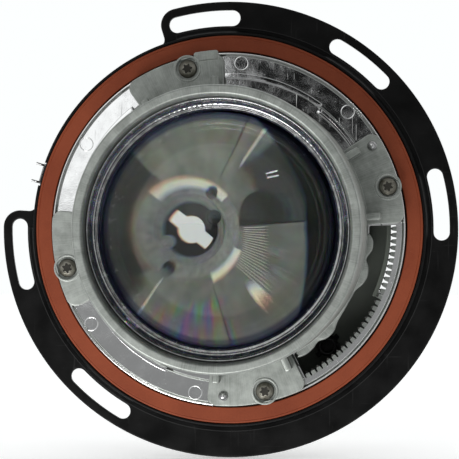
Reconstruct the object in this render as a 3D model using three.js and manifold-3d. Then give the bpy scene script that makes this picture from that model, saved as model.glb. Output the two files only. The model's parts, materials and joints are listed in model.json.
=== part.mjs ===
// A projector headlight for a car: a slotted mounting ring, a silicone gasket, a metallised reflector,
// a die-cast lens holder with its glass lens, and the bulb collar at the back.
//
// Units are millimetres. The optical axis is the Y axis: the lens faces -Y, the bulb goes in from +Y,
// and +Z is up. The origin is on the optical axis, in the plane of the mounting flange's front face.
// Angles are degrees about the optical axis, from +X towards +Z.

import * as THREE from 'three';
import { mergeVertices } from 'three/addons/utils/BufferGeometryUtils.js';
import Module from 'manifold-3d';

const wasm = await Module();
wasm.setup();

// ---------------------------------------------------------------- driving dimensions

const GAP = 0.3;                  // clearance between pieces that rest on each other
const FINE = 48;                  // segments round a large ring
const COARSE = 12;                // segments round a small pin

const flange = {
  radius: 73,                     // 146 mm across, the five and three quarter inch lamp size
  back: 2.5,                      // the flange's front face is the plane y = 0
  slotRadius: 67.75,
  slotWidth: 5.1,
  slotSpan: 19.5,                 // degrees, over the round ends
  slotAngles: [6.8, 51.8, 96.8, 186.8, 231.8],
};

const hub = {
  inner: 57,
  outer: 62.9,
  seat: -1.5,                     // face that the gasket lies on
  rim: -3.6,                      // front edge of the rim outside the gasket
  rimInner: 62,
  shoulder: 64.3,                 // where the shoulder runs out on the flange
  ledgeInner: 55.2,               // ledge that the reflector's flange rests on
  ledgeFront: -2.2,
  ledgeBack: 1.5,
  skirtBack: 14,
};

const seal = { inner: 56.75, outer: 61.75, front: -4.6 };

const mirror = {
  rim: 56.2,                      // outer edge of the reflector's flange
  front: -5.4,
  bead: 0.6,                      // height of the bead round the flange's edge
  back: -2.5,
  recessRadius: 48.6,             // the holder's barrel stands in this recess
  recessFloor: -2.6,
  bowlCentre: 15,                 // ellipsoid: centre, half length and half width
  bowlHalfLength: 52,
  bowlHalfWidth: 39.3,
  wall: 2.4,
  mouth: -1,
  neckRadius: 21,                 // flat neck round the bulb hole
  bulbHole: 15,
};

const glass = {
  radius: 38.2,                   // edge of the lens
  clear: 35.3,                    // where the dome begins
  edgeFront: -49,
  flat: -46,
  vertexRadius: 24,               // radius of curvature at the dome's tip
  conic: -1,
};

const barrel = {
  baseRadius: 44.4,
  mouthRadius: 43.2,
  mouth: -60,
  bore: 39.8,
  seatRadius: 36,
  back: -3.4,
  wall: 2.6,
};

const lug = { outer: 56, front: -9.3, back: mirror.front - mirror.bead - GAP };
const lugRanges = [[91.5, 125.5], [173.5, 207], [263, 297], [2, 34]];
const screw = { circle: 52.5, headRadius: 2.95, headHeight: 2, shank: 1.5, tip: 6 };
const screwAngles = { top: 104, left: 193.5, bottom: 283, right: 15 };
const pin = { circle: 52.8, radius: 1.6 };
const pinAngles = { right: 30, bottom: 268.5 };

const lampWindow = { inner: 44.7, outer: 53.4, from: 297.5, to: 361.5, toothPitch: 2.2 };
const chamber = {
  inner: 43.2, outer: 54.8, wall: 1.4, front: 1.4, back: 24, from: 293, to: 366,
  narrow: 51.6, narrowFrom: 337,  // beyond this angle the outer wall steps in, clear of the window's teeth
  earCircle: 46.5, earAngles: [289.6, 369.4],
};
const lamp = { angle: 309, circle: 49, bore: 3.3, nose: 2.9, lugReach: 4.1, keyway: 4.4 };
const shield = {
  inner: 33, outer: 41.2, sheet: 0.9, plateFront: -19, edge: -5, stepRise: 1.2,
  turn: 105,                      // the lamp stands turned, so the shield's plate is to the right
  screwCircle: 39.2, screwAngles: [0, 180],
};
const smallScrew = { headRadius: 1.9, headHeight: 1.2, shank: 0.9 };
const collar = {
  radius: 28, thickness: 3, rimWidth: 2, hole: 6.4, screwCircle: 18, screwAngle: 60,
  bossRadius: 3.1, bossCircle: 11.6, bossAngle: 28, notchAngle: 142,
};
const bail = { wire: 0.8, hinge: 19.5, lift: 3.4, halfWidth: 11.5, wireEnd: 15.1, earWidth: 2, reach: 39.5 };

// ---------------------------------------------------------------- geometry helpers

const rad = THREE.MathUtils.degToRad;

function polar(radius, degrees) {
  return new THREE.Vector2(radius * Math.cos(rad(degrees)), radius * Math.sin(rad(degrees)));
}

// Turns an outline of [radius, y] points about the optical axis. The outline runs anticlockwise with the
// radius to the right and y up.
function turned(outline, segments = FINE) {
  const points = outline.map(([radius, y]) => new THREE.Vector2(radius, y));
  const startsOnAxis = outline[0][0] === 0;
  if (!startsOnAxis) points.push(points[0].clone());
  return new THREE.LatheGeometry(points, segments);
}

// A plate whose shape is drawn as seen from the front, with x to the right and z up.
function plate(shape, front, back) {
  const options = { depth: back - front, bevelEnabled: false };
  const geometry = new THREE.ExtrudeGeometry(shape, options);
  geometry.rotateX(Math.PI / 2);
  geometry.translate(0, back, 0);
  return geometry;
}

// Evenly stepped points along an arc, about a centre, in steps of no more than `step` degrees.
function arc(radius, from, to, step = 5, centre = new THREE.Vector2()) {
  const count = Math.max(1, Math.ceil(Math.abs(to - from) / step));
  const points = [];
  for (let i = 0; i <= count; i += 1) {
    points.push(polar(radius, from + (to - from) * i / count).add(centre));
  }
  return points;
}

// The angle, in degrees, that a length covers along a circle.
function spanOf(length, radius) {
  return THREE.MathUtils.radToDeg(length / radius);
}

// A ring sector with its outer corners rounded.
function sector(inner, outer, from, to, corner = 0) {
  if (corner === 0) return new THREE.Shape([...arc(outer, from, to), ...arc(inner, to, from)]);
  const turn = spanOf(corner, outer - corner);
  const first = polar(outer - corner, from + turn);
  const last = polar(outer - corner, to - turn);
  return new THREE.Shape([
    ...arc(corner, from - 90, from + turn, 30, first),
    ...arc(outer, from + turn, to - turn).slice(1, -1),
    ...arc(corner, to - turn, to + 90, 30, last),
    ...arc(inner, to, from),
  ]);
}

// A straight pin or bore along Y, at a place on a circle round the optical axis.
function peg(radius, front, back, circle, degrees, segments = COARSE) {
  const geometry = new THREE.CylinderGeometry(radius, radius, back - front, segments);
  const place = polar(circle, degrees);
  geometry.translate(place.x, (front + back) / 2, place.y);
  return geometry;
}

// A bar along a radius of the optical axis, given by its radii, width and depth.
function radialBar(inner, outer, width, front, back, degrees) {
  const geometry = new THREE.BoxGeometry(outer - inner, back - front, width);
  geometry.translate((inner + outer) / 2, (front + back) / 2, 0);
  geometry.rotateY(-rad(degrees));
  return geometry;
}

function toSolid(geometry) {
  const bare = geometry.clone();
  bare.deleteAttribute('normal');
  bare.deleteAttribute('uv');
  const merged = mergeVertices(bare, 1e-4);
  return new wasm.Manifold(new wasm.Mesh({
    numProp: 3,
    vertProperties: new Float32Array(merged.attributes.position.array),
    triVerts: new Uint32Array(merged.index.array),
  }));
}

function toGeometry(solid) {
  const mesh = solid.getMesh();
  const geometry = new THREE.BufferGeometry();
  geometry.setAttribute('position', new THREE.BufferAttribute(mesh.vertProperties, 3));
  geometry.setIndex(new THREE.BufferAttribute(mesh.triVerts, 1));
  return geometry;
}

function join(first, ...others) {
  return others.reduce((whole, geometry) => whole.add(toSolid(geometry)), toSolid(first));
}

function cut(solid, ...tools) {
  return tools.reduce((rest, geometry) => rest.subtract(toSolid(geometry)), solid);
}

const assembly = new THREE.Group();

function addPiece(name, shape, color, roughness, metalness) {
  const geometry = shape.isBufferGeometry ? shape : toGeometry(shape);
  const mesh = new THREE.Mesh(geometry, new THREE.MeshStandardMaterial({ color, roughness, metalness }));
  mesh.name = name;
  assembly.add(mesh);
  return mesh;
}

const finish = {
  blackPaint: [0x151617, 0.4, 0.2],
  silicone: [0x9c3f22, 0.7, 0],
  chrome: [0xd4d7da, 0.12, 1],
  casting: [0x8a9088, 0.55, 0.7],
  glass: [0xf0f6f6, 0.02, 0],
  steel: [0x9b9d98, 0.35, 1],
  darkSteel: [0x3a3b3a, 0.5, 0.8],
  darkPlastic: [0x373b36, 0.6, 0],
  blackPlastic: [0x161616, 0.5, 0],
  rubber: [0x222222, 0.8, 0],
};

// ---------------------------------------------------------------- mounting ring

// Curved slot with round ends, as a path round the optical axis.
function slotPath(middle) {
  const half = flange.slotWidth / 2;
  const inset = flange.slotSpan / 2 - spanOf(half, flange.slotRadius);
  const from = middle - inset;
  const to = middle + inset;
  return new THREE.Path([
    ...arc(flange.slotRadius + half, from, to),
    ...arc(half, to, to + 180, 30, polar(flange.slotRadius, to)).slice(1, -1),
    ...arc(flange.slotRadius - half, to, from),
    ...arc(half, from + 180, from + 360, 30, polar(flange.slotRadius, from)).slice(1, -1),
  ]);
}

// The flange's outline: a full circle, but for the stretch between the ears at the top and at the left,
// where only the hub is left. Each ear is round about the end of its slot.
function flangeShape() {
  const inset = flange.slotSpan / 2 - spanOf(flange.slotWidth / 2, flange.slotRadius);
  const topEar = flange.slotAngles[2] + inset;
  const leftEar = flange.slotAngles[3] - inset;
  const earRadius = flange.radius - flange.slotRadius;
  const earTurn = spanOf(earRadius, flange.slotRadius);
  const fillet = 2.2;
  const filletTurn = spanOf(fillet, hub.outer);
  const topFillet = polar(hub.outer + fillet, topEar + earTurn + filletTurn);
  const leftFillet = polar(hub.outer + fillet, leftEar - earTurn - filletTurn);
  const topTurn = topEar + earTurn + filletTurn;
  const leftTurn = leftEar - earTurn - filletTurn;
  return new THREE.Shape([
    ...arc(flange.radius, leftEar - 360, topEar),
    ...arc(earRadius, topEar, topEar + 90, 15, polar(flange.slotRadius, topEar)).slice(1),
    ...arc(fillet, topTurn + 270, topTurn + 180, 30, topFillet),
    ...arc(hub.outer, topTurn, leftTurn).slice(1, -1),
    ...arc(fillet, leftTurn + 180, leftTurn + 90, 30, leftFillet),
    ...arc(earRadius, leftEar - 90, leftEar, 15, polar(flange.slotRadius, leftEar)).slice(0, -1),
  ]);
}

const clipAngles = { left: 163.5, right: 60, bottom: 245 };

function mountingRing() {
  const outline = flangeShape();
  const middle = new THREE.Path(arc(hub.outer - 1.2, 0, 360).slice(1));
  outline.holes.push(middle, ...flange.slotAngles.map(slotPath));
  const flangePlate = toSolid(plate(outline, 0, flange.back));

  const body = toSolid(turned([
    [hub.ledgeInner, hub.ledgeFront + 0.4], [hub.inner - 0.5, hub.ledgeFront + 0.4],
    [hub.inner - 0.5, hub.seat], [hub.rimInner, hub.seat], [hub.rimInner, hub.rim],
    [hub.outer - 0.4, hub.rim], [hub.outer, hub.rim + 0.5], [hub.outer, hub.skirtBack],
    [hub.outer - 2.4, hub.skirtBack], [hub.outer - 2.4, hub.ledgeBack], [hub.ledgeInner, hub.ledgeBack],
  ]));

  const shoulderRing = toSolid(turned([
    [hub.rimInner + 0.2, 1], [hub.rimInner + 0.2, hub.rim + 0.9], [hub.outer - 0.2, hub.rim + 0.9],
    [hub.shoulder - 0.9, -1], [hub.shoulder, -0.2], [hub.shoulder, 1],
  ]));
  const tallFlange = toSolid(plate(flangeShape(), hub.rim - 1, flange.back));
  const shoulder = shoulderRing.intersect(tallFlange);

  let ring = body.add(flangePlate).add(shoulder);
  for (const angle of Object.values(clipAngles)) {
    ring = cut(ring, radialBar(hub.ledgeInner - 1, hub.outer - 0.5, 9.4, 0.2, hub.skirtBack + 1, angle));
  }
  return cut(ring, radialBar(60.6, 66, 7.6, hub.rim - 1, hub.skirtBack + 1, clipAngles.left));
}

// ---------------------------------------------------------------- reflector

function bowlRadius(y) {
  const along = (y - mirror.bowlCentre) / mirror.bowlHalfLength;
  return mirror.bowlHalfWidth * Math.sqrt(1 - along * along);
}

// Points down one side of the bowl, grown outwards by an offset, from one y to another.
function bowlSide(offset, fromY, toY, steps) {
  const points = [];
  for (let i = 0; i <= steps; i += 1) {
    const y = fromY + (toY - fromY) * i / steps;
    points.push([bowlRadius(y) + offset, y]);
  }
  return points;
}

const neckY = mirror.bowlCentre
  + mirror.bowlHalfLength * Math.sqrt(1 - (mirror.neckRadius / mirror.bowlHalfWidth) ** 2);

function reflector() {
  const outline = [
    ...bowlSide(0, neckY, mirror.mouth, 7),
    [bowlRadius(mirror.mouth), mirror.recessFloor],
    [mirror.recessRadius, mirror.recessFloor],
    [mirror.recessRadius, mirror.front],
    [mirror.rim - 0.8, mirror.front],
    [mirror.rim - 0.5, mirror.front - mirror.bead],
    [mirror.rim, mirror.front - mirror.bead],
    [mirror.rim, mirror.back],
    [mirror.recessRadius + 1.5, mirror.back],
    [mirror.recessRadius - 1, mirror.back + 3],
    ...bowlSide(mirror.wall, mirror.back + 3.4, neckY - 3, 4),
    [mirror.neckRadius + 4, neckY + 2.2],
    [mirror.bulbHole, neckY + 2.2],
    [mirror.bulbHole, neckY],
  ];
  let solid = toSolid(turned(outline));

  const bosses = Object.values(screwAngles).map(
    (angle) => peg(3.2, mirror.back - 0.4, screw.tip + 1, screw.circle - 0.8, angle));
  const ribs = [0, 1, 2, 3, 4, 5].map(
    (i) => radialBar(38.5, 47.4, 2, -0.6, 16, 45 * i + 38));
  const clipLugs = Object.values(clipAngles).map(
    (angle) => radialBar(48, 54, 6, mirror.back - 0.2, 3.6, angle));
  const neckBosses = [0, 180].map(
    (turn) => peg(2.8, neckY - 1.4, neckY + 1, collar.screwCircle, collar.screwAngle + turn));
  for (const extra of [...bosses, ...ribs, ...clipLugs, ...neckBosses]) solid = solid.add(toSolid(extra));

  // Raised bars along the flange's inner edge.
  const bars = [[33, 53, 46.9], [53, 91, 49.2], [128, 172, 49.2], [208, 246, 48.9]];
  for (const [from, to, radius] of bars) {
    const inner = Math.min(radius, mirror.recessRadius) - 0.4;
    solid = solid.add(toSolid(plate(sector(inner, radius + 0.6, from, to), mirror.front - 0.7, -2)));
  }

  // Window for the position lamp, with a row of teeth along its outer edge.
  const opening = sector(lampWindow.inner, lampWindow.outer, lampWindow.from, lampWindow.to);
  solid = cut(solid, plate(opening, mirror.front - 2, 20));
  for (let angle = lampWindow.from + 1.5; angle < lampWindow.to - 1; angle += lampWindow.toothPitch) {
    solid = solid.add(toSolid(radialBar(51.6, 54.2, 1.1, mirror.front + 0.4, mirror.back + 0.5, angle)));
  }

  const holes = [
    ...Object.values(screwAngles).map((angle) => peg(screw.shank + GAP, -12, screw.tip - 2,
      screw.circle, angle, 8)),
    ...Object.values(pinAngles).map((angle) => peg(pin.radius + GAP, -12, -3.2, pin.circle, angle, 8)),
    ...[0, 180].map((turn) => peg(screw.shank + GAP, neckY - 3, neckY + 4, collar.screwCircle,
      collar.screwAngle + turn, 8)),
    ...shield.screwAngles.map((angle) => peg(smallScrew.shank + GAP, -4, 0.3, shield.screwCircle,
      angle + shield.turn, 8)),
    ...chamber.earAngles.map((angle) => peg(smallScrew.shank + GAP, -1.8, 2, chamber.earCircle, angle, 8)),
  ];
  return cut(solid, ...holes);
}

// ---------------------------------------------------------------- lens and its holder

function sag(radius) {
  const root = Math.sqrt(1 - (1 + glass.conic) * (radius / glass.vertexRadius) ** 2);
  return radius * radius / (glass.vertexRadius * (1 + root));
}

const apex = glass.edgeFront - sag(glass.clear);

function lens() {
  const steps = 8;
  const dome = [];
  for (let i = 0; i <= steps; i += 1) {
    const radius = glass.clear * Math.sin(Math.PI / 2 * i / steps);
    dome.push([radius, apex + sag(radius)]);
  }
  return turned([
    ...dome,
    [glass.radius - 0.4, glass.edgeFront], [glass.radius, glass.edgeFront + 0.4],
    [glass.radius, glass.flat], [0, glass.flat],
  ]);
}

function retainingRing() {
  const back = glass.edgeFront - GAP;
  const inner = glass.clear + 0.7;
  const outer = barrel.bore - GAP;
  return turned([
    [inner, back], [inner, back - 0.9], [inner + 0.9, back - 1.6], [inner + 1.6, back - 1.6],
    [outer - 0.9, back - 4.6], [outer, back - 4.6], [outer, back],
  ]);
}

function lensHolder() {
  const seatY = glass.flat + GAP;
  const tube = toSolid(turned([
    [barrel.baseRadius - barrel.wall, barrel.back], [barrel.seatRadius + 1, seatY + 3],
    [barrel.seatRadius, seatY + 1.5], [barrel.seatRadius, seatY], [glass.radius + 0.5, seatY],
    [glass.radius + 0.5, glass.edgeFront + 0.8], [barrel.bore, glass.edgeFront + 0.1],
    [barrel.bore, barrel.mouth + 0.4], [barrel.bore + 0.4, barrel.mouth],
    [barrel.mouthRadius - 0.8, barrel.mouth], [barrel.mouthRadius, barrel.mouth + 0.8],
    [barrel.baseRadius, barrel.back],
  ]));
  let solid = tube;

  for (const [from, to] of lugRanges) {
    const shape = sector(barrel.baseRadius - 1.8, lug.outer, from, to, 3);
    solid = solid.add(toSolid(plate(shape, lug.front, lug.back)));
    for (const edge of [from + 3, to - 3]) {
      solid = solid.add(toSolid(radialBar(42.5, 48.5, 2.4, -15, lug.back - 0.5, edge)));
    }
  }
  // Rounded lumps along the foot of the barrel, where it faces the position lamp's window.
  const lumpFront = -9.5;
  const boreRadius = barrel.baseRadius - barrel.wall;
  const bore = toSolid(turned([
    [0, lumpFront - 1], [boreRadius - 1.1, lumpFront - 1], [boreRadius, barrel.back + 0.1],
    [0, barrel.back + 0.1],
  ]));
  for (const angle of [315, 344]) {
    const lump = toSolid(peg(4.2, lumpFront, barrel.back, 41.6, angle, 24));
    solid = solid.add(lump.subtract(bore));
  }
  // Tab that stands on the top lug.
  solid = solid.add(toSolid(plate(sector(54, 57, 93, 101, 0.8), -9.6, lug.front + 1)));

  const pockets = Object.values(screwAngles).map(
    (angle) => peg(3.7, lug.front - 2, lug.front + 1, screw.circle, angle));
  const screwHoles = Object.values(screwAngles).map(
    (angle) => peg(screw.shank + GAP, -12, -3, screw.circle, angle, 8));
  const pinHoles = Object.values(pinAngles).map(
    (angle) => peg(pin.radius + GAP, -12, -3, pin.circle, angle, 8));
  return cut(solid, ...pockets, ...screwHoles, ...pinHoles);
}

// ---------------------------------------------------------------- fasteners

// Six-lobed driver recess, as a shape about the origin.
function driverShape(radius) {
  const points = [];
  const steps = 12;
  for (let i = 0; i < steps; i += 1) {
    const turn = 360 * i / steps;
    points.push(polar(radius * (1 + 0.18 * Math.cos(6 * rad(turn))), turn));
  }
  return new THREE.Shape(points);
}

// Pan-head screw along Y at the origin: the head's underside is y = 0 and the head points to -Y.
function panScrew(headRadius, headHeight, shank, length) {
  const body = toSolid(turned([
    [0, -headHeight], [headRadius * 0.62, -headHeight], [headRadius, -headHeight * 0.4],
    [headRadius, 0], [shank, 0], [shank, length], [0, length],
  ], COARSE));
  return toGeometry(cut(body, plate(driverShape(headRadius * 0.45), -headHeight - 1, -headHeight * 0.35)));
}

function place(mesh, circle, degrees, y) {
  const spot = polar(circle, degrees);
  mesh.position.set(spot.x, y, spot.y);
}

function holderScrews() {
  const seat = lug.front + 1 - 0.05;
  for (const [side, angle] of Object.entries(screwAngles)) {
    const shape = panScrew(screw.headRadius, screw.headHeight, screw.shank, screw.tip - 3 - seat);
    place(addPiece(`lens_holder_screw_${side}`, shape, ...finish.steel), screw.circle, angle, seat);
  }
}

// Domed pin with a short shank, along Y.
function locatingPins() {
  for (const [side, angle] of Object.entries(pinAngles)) {
    const shape = turned([
      [0, -1.5], [0.7, -1.35], [1.2, -0.95], [pin.radius, 0], [pin.radius, 5.4], [0, 5.4],
    ], COARSE);
    place(addPiece(`locating_pin_${side}`, shape, ...finish.steel), pin.circle, angle, lug.front);
  }
}

// Spring clip, bent from strip: an outer leg with two prongs, a bridge behind the skirt and an inner leg.
function retainingClip(angle, hasProngs) {
  const strip = 0.7;
  const width = 6.6;
  const skirtBack = hub.skirtBack + GAP;
  const outerLeg = radialBar(hub.outer + GAP, hub.outer + GAP + strip, width, 3, skirtBack + strip, angle);
  const bridge = radialBar(54.6, hub.outer + GAP + strip, width, skirtBack, skirtBack + strip, angle);
  const innerLeg = radialBar(54.6, 54.6 + strip, width, 4, skirtBack + strip, angle);
  const hook = radialBar(52.2, 54.6 + strip, width, 4, 4 + strip, angle);
  let solid = join(bridge, outerLeg, innerLeg, hook);
  if (!hasProngs) return toGeometry(solid);
  for (const side of [-1, 1]) {
    const prong = radialBar(62, 65.7, 0.9, -1.6, -0.9, angle);
    const post = radialBar(hub.outer + GAP, hub.outer + GAP + strip, 0.9, -1.6, 3.4, angle);
    for (const bar of [prong, post]) {
      bar.translate(...sideways(angle, side * 2.85));
      solid = solid.add(toSolid(bar));
    }
  }
  return toGeometry(solid);
}

// A step along the tangent at an angle round the optical axis.
function sideways(degrees, distance) {
  return [-distance * Math.sin(rad(degrees)), 0, distance * Math.cos(rad(degrees))];
}

// ---------------------------------------------------------------- cut-off shield

// Sheet-metal shield: a flat foot on the reflector, a half cone reaching forwards, and a plate in the
// lens's focal plane whose top edge draws the beam's cut-off, with a slanted step in the middle.
function cutoffShield() {
  const footBack = mirror.recessFloor - GAP;
  const footFront = footBack - shield.sheet;
  const foot = turned([
    [shield.inner, footFront], [shield.outer, footFront], [shield.outer, footBack], [shield.inner, footBack],
  ]);
  const coneTip = 27;
  const cone = toSolid(turned([
    [coneTip, shield.plateFront], [coneTip + shield.sheet, shield.plateFront],
    [shield.inner + shield.sheet, footFront + 0.2], [shield.inner, footFront + 0.2],
  ]));
  const lowerHalf = new THREE.BoxGeometry(80, 40, 40);
  lowerHalf.translate(0, footFront, shield.edge - 20);
  const rightEdge = shield.edge - shield.stepRise;
  const edgeShape = new THREE.Shape([
    ...arc(coneTip + 0.5, 180 + spanOf(-shield.edge, coneTip), 360 - spanOf(-rightEdge, coneTip)),
    new THREE.Vector2(shield.stepRise, rightEdge),
    new THREE.Vector2(-shield.stepRise, shield.edge),
  ]);
  const edgePlate = plate(edgeShape, shield.plateFront, shield.plateFront + shield.sheet);
  const solid = toSolid(foot).add(cone.intersect(toSolid(lowerHalf))).add(toSolid(edgePlate));
  return cut(solid, ...shield.screwAngles.map(
    (angle) => peg(smallScrew.shank + GAP, -6, 0, shield.screwCircle, angle, 8)));
}

function shieldScrews() {
  const seat = mirror.recessFloor - GAP - shield.sheet - 0.05;
  shield.screwAngles.forEach((angle, i) => {
    const shape = panScrew(smallScrew.headRadius, smallScrew.headHeight, smallScrew.shank, -0.1 - seat);
    place(addPiece(`shield_screw_${i + 1}`, shape, ...finish.steel), shield.screwCircle,
      angle + shield.turn, seat);
  });
}

// ---------------------------------------------------------------- bulb collar and its bail

const collarFront = neckY + 2.2 + GAP;
const collarBack = collarFront + collar.thickness;
const collarRim = -apex;          // the rim for the rear cap reaches as far back as the lens does forwards
const bailPlane = collarBack + bail.lift;

function bulbCollar() {
  const disc = turned([
    [collar.hole, collarFront], [collar.radius, collarFront], [collar.radius, collarRim],
    [collar.radius - collar.rimWidth, collarRim], [collar.radius - collar.rimWidth, collarBack],
    [collar.hole, collarBack],
  ]);
  let solid = toSolid(disc);
  for (const turn of [0, 180]) {
    const boss = peg(collar.bossRadius, neckY - 1, collarFront + 1, collar.bossCircle, collar.bossAngle + turn);
    solid = solid.add(toSolid(boss));
  }
  for (const side of [-1, 1]) {
    const ear = new THREE.BoxGeometry(bail.earWidth, bail.lift + 3, 5);
    ear.translate(side * (bail.halfWidth + 2.4), collarBack + (bail.lift + 3) / 2 - 0.5, bail.hinge);
    solid = solid.add(toSolid(ear));
  }
  const hook = new THREE.BoxGeometry(7, bail.lift + 3, 1.8);
  hook.translate(0, collarBack + (bail.lift + 3) / 2 - 0.5, bail.hinge - bail.reach - 2.2);
  solid = solid.add(toSolid(hook));
  const hingeHole = new THREE.CylinderGeometry(bail.wire + GAP, bail.wire + GAP, 2 * bail.wireEnd + 4, 12);
  hingeHole.rotateZ(Math.PI / 2);
  hingeHole.translate(0, bailPlane, bail.hinge);
  const notches = [0, 180].map(
    (turn) => radialBar(4, 11, 6.4, collarFront - 1, collarBack + 1, collar.notchAngle + turn));
  const screwHoles = [0, 180].map((turn) => peg(screw.shank + GAP, collarFront - 1, collarBack + 1,
    collar.screwCircle, collar.screwAngle + turn, 8));
  return cut(solid, hingeHole, ...notches, ...screwHoles);
}

function collarScrews() {
  [0, 180].forEach((turn, i) => {
    const shape = panScrew(screw.headRadius, screw.headHeight, screw.shank, 7);
    const mesh = addPiece(`bulb_collar_screw_${i + 1}`, shape, ...finish.darkSteel);
    mesh.rotation.x = Math.PI;
    place(mesh, collar.screwCircle, collar.screwAngle + turn, collarBack + 0.05);
  });
}

// Wire bail: two arms from the hinge ears down past the bulb hole, joined by a narrower cross bar.
function bulbBail() {
  const end = bail.wireEnd;
  const bottom = bail.hinge - bail.reach;
  const corners = [
    [-end, bail.hinge], [-bail.halfWidth, bail.hinge], [-bail.halfWidth, bottom + 9], [-4.5, bottom],
    [4.5, bottom], [bail.halfWidth, bottom + 9], [bail.halfWidth, bail.hinge], [end, bail.hinge],
  ].map(([x, z]) => new THREE.Vector3(x, 0, z));
  const path = new THREE.CurvePath();
  const bend = 1.6;
  let from = corners[0];
  for (let i = 1; i < corners.length - 1; i += 1) {
    const corner = corners[i];
    const before = corner.clone().lerp(corners[i - 1], bend / corner.distanceTo(corners[i - 1]));
    const after = corner.clone().lerp(corners[i + 1], bend / corner.distanceTo(corners[i + 1]));
    path.add(new THREE.LineCurve3(from, before));
    path.add(new THREE.QuadraticBezierCurve3(before, corner, after));
    from = after;
  }
  path.add(new THREE.LineCurve3(from, corners[corners.length - 1]));
  const section = new THREE.Shape(arc(bail.wire, 0, 360, 60).slice(1));
  return new THREE.ExtrudeGeometry(section, { steps: 60, extrudePath: path, bevelEnabled: false });
}

// ---------------------------------------------------------------- position lamp

// The chamber's outline, or its hollow when the outline is moved inwards by the wall.
function chamberOutline(inset) {
  const { inner, outer, narrow, narrowFrom, from, to } = chamber;
  const turn = spanOf(inset, inner);
  return new THREE.Shape([
    ...arc(outer - inset, from + turn, narrowFrom - turn),
    ...arc(narrow - inset, narrowFrom - turn, to - turn),
    ...arc(inner + inset, to - turn, from + turn),
  ]);
}

function lampChamber() {
  const { wall, front, back, from } = chamber;
  const shell = toSolid(plate(chamberOutline(0), front, back));
  const centre = polar(lamp.circle, lamp.angle);
  const keyway = new THREE.BoxGeometry(2 * lamp.keyway, 4, 2);
  keyway.rotateY(rad(45));
  keyway.translate(centre.x, back - 0.5, centre.y);
  const ears = chamber.earAngles.map((angle) => {
    const side = angle < from ? 1 : -1;
    return sector(44.4, 48.7, angle - (side > 0 ? 2.6 : 4.4), angle + (side > 0 ? 4.4 : 2.6));
  });
  let solid = shell;
  for (const ear of ears) solid = solid.add(toSolid(plate(ear, front, front + 2)));
  return cut(solid,
    plate(chamberOutline(wall), front - 1, back - wall),
    peg(lamp.bore, back - 3, back + 1, lamp.circle, lamp.angle),
    keyway,
    ...chamber.earAngles.map((angle) => peg(smallScrew.shank + GAP, 0, 5, chamber.earCircle, angle, 8)));
}

function chamberScrews() {
  const seat = chamber.front + 2 + 0.05;
  chamber.earAngles.forEach((angle, i) => {
    const shape = panScrew(smallScrew.headRadius, smallScrew.headHeight, smallScrew.shank, seat + 1.4);
    const mesh = addPiece(`lamp_chamber_screw_${i + 1}`, shape, ...finish.darkSteel);
    mesh.rotation.x = Math.PI;
    place(mesh, chamber.earCircle, angle, seat);
  });
}

// Seal ring, with the origin on the holder's own axis at the chamber's back face.
function lampSeal() {
  return turned([[4.9, 0.1], [6.7, 0.1], [6.7, 1.5], [4.9, 1.5]], COARSE);
}

// Twist-in holder, with its origin as the seal's: a hollow nose with two locking lugs, a flange, a fluted
// grip and a plug socket.
function lampHolder() {
  const body = toSolid(turned([
    [0, -3], [2, -3], [2, -8], [lamp.nose, -8], [lamp.nose, 1.7], [7, 1.7], [7, 3.4], [5.4, 3.4],
    [5.4, 11], [4.2, 11], [4.2, 16], [2.8, 16], [2.8, 10], [0, 10],
  ], COARSE));
  const lugs = new THREE.BoxGeometry(2 * lamp.lugReach, 1.4, 1.7);
  lugs.translate(0, -2.6, 0);
  let solid = body.add(toSolid(lugs));
  for (let i = 0; i < 8; i += 1) {
    const flute = new THREE.CylinderGeometry(1, 1, 7, 8);
    flute.translate(6, 8.2, 0);
    flute.rotateY(Math.PI / 4 * (i + 0.5));
    solid = cut(solid, flute);
  }
  return solid;
}

// ---------------------------------------------------------------- build

addPiece('mounting_ring', mountingRing(), ...finish.blackPaint);
addPiece('gasket', turned([
  [seal.inner, seal.front + 0.3], [seal.inner + 0.3, seal.front], [seal.outer - 0.3, seal.front],
  [seal.outer, seal.front + 0.3], [seal.outer, hub.seat - 0.05], [seal.inner, hub.seat - 0.05],
]), ...finish.silicone);
addPiece('reflector', reflector(), ...finish.chrome);
addPiece('lens_holder', lensHolder(), ...finish.casting);
addPiece('lens', lens(), ...finish.glass);
addPiece('lens_retaining_ring', retainingRing(), ...finish.steel);
holderScrews();
locatingPins();
for (const [side, angle] of Object.entries(clipAngles)) {
  addPiece(`retaining_clip_${side}`, retainingClip(angle, side === 'left'), ...finish.steel);
}

addPiece('cutoff_shield', cutoffShield(), ...finish.darkSteel).rotation.y = -rad(shield.turn);
shieldScrews();
addPiece('bulb_collar', bulbCollar(), ...finish.darkSteel);
collarScrews();
addPiece('bulb_bail', bulbBail(), ...finish.steel).position.set(0, bailPlane, 0);
addPiece('lamp_chamber', lampChamber(), ...finish.darkPlastic);
chamberScrews();
place(addPiece('position_lamp_seal', lampSeal(), ...finish.rubber), lamp.circle, lamp.angle, chamber.back);
place(addPiece('position_lamp_holder', lampHolder(), ...finish.blackPlastic),
  lamp.circle, lamp.angle, chamber.back);

export default assembly;
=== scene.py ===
import json
import math

import bmesh
import bpy
from mathutils import Matrix, Vector

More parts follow.
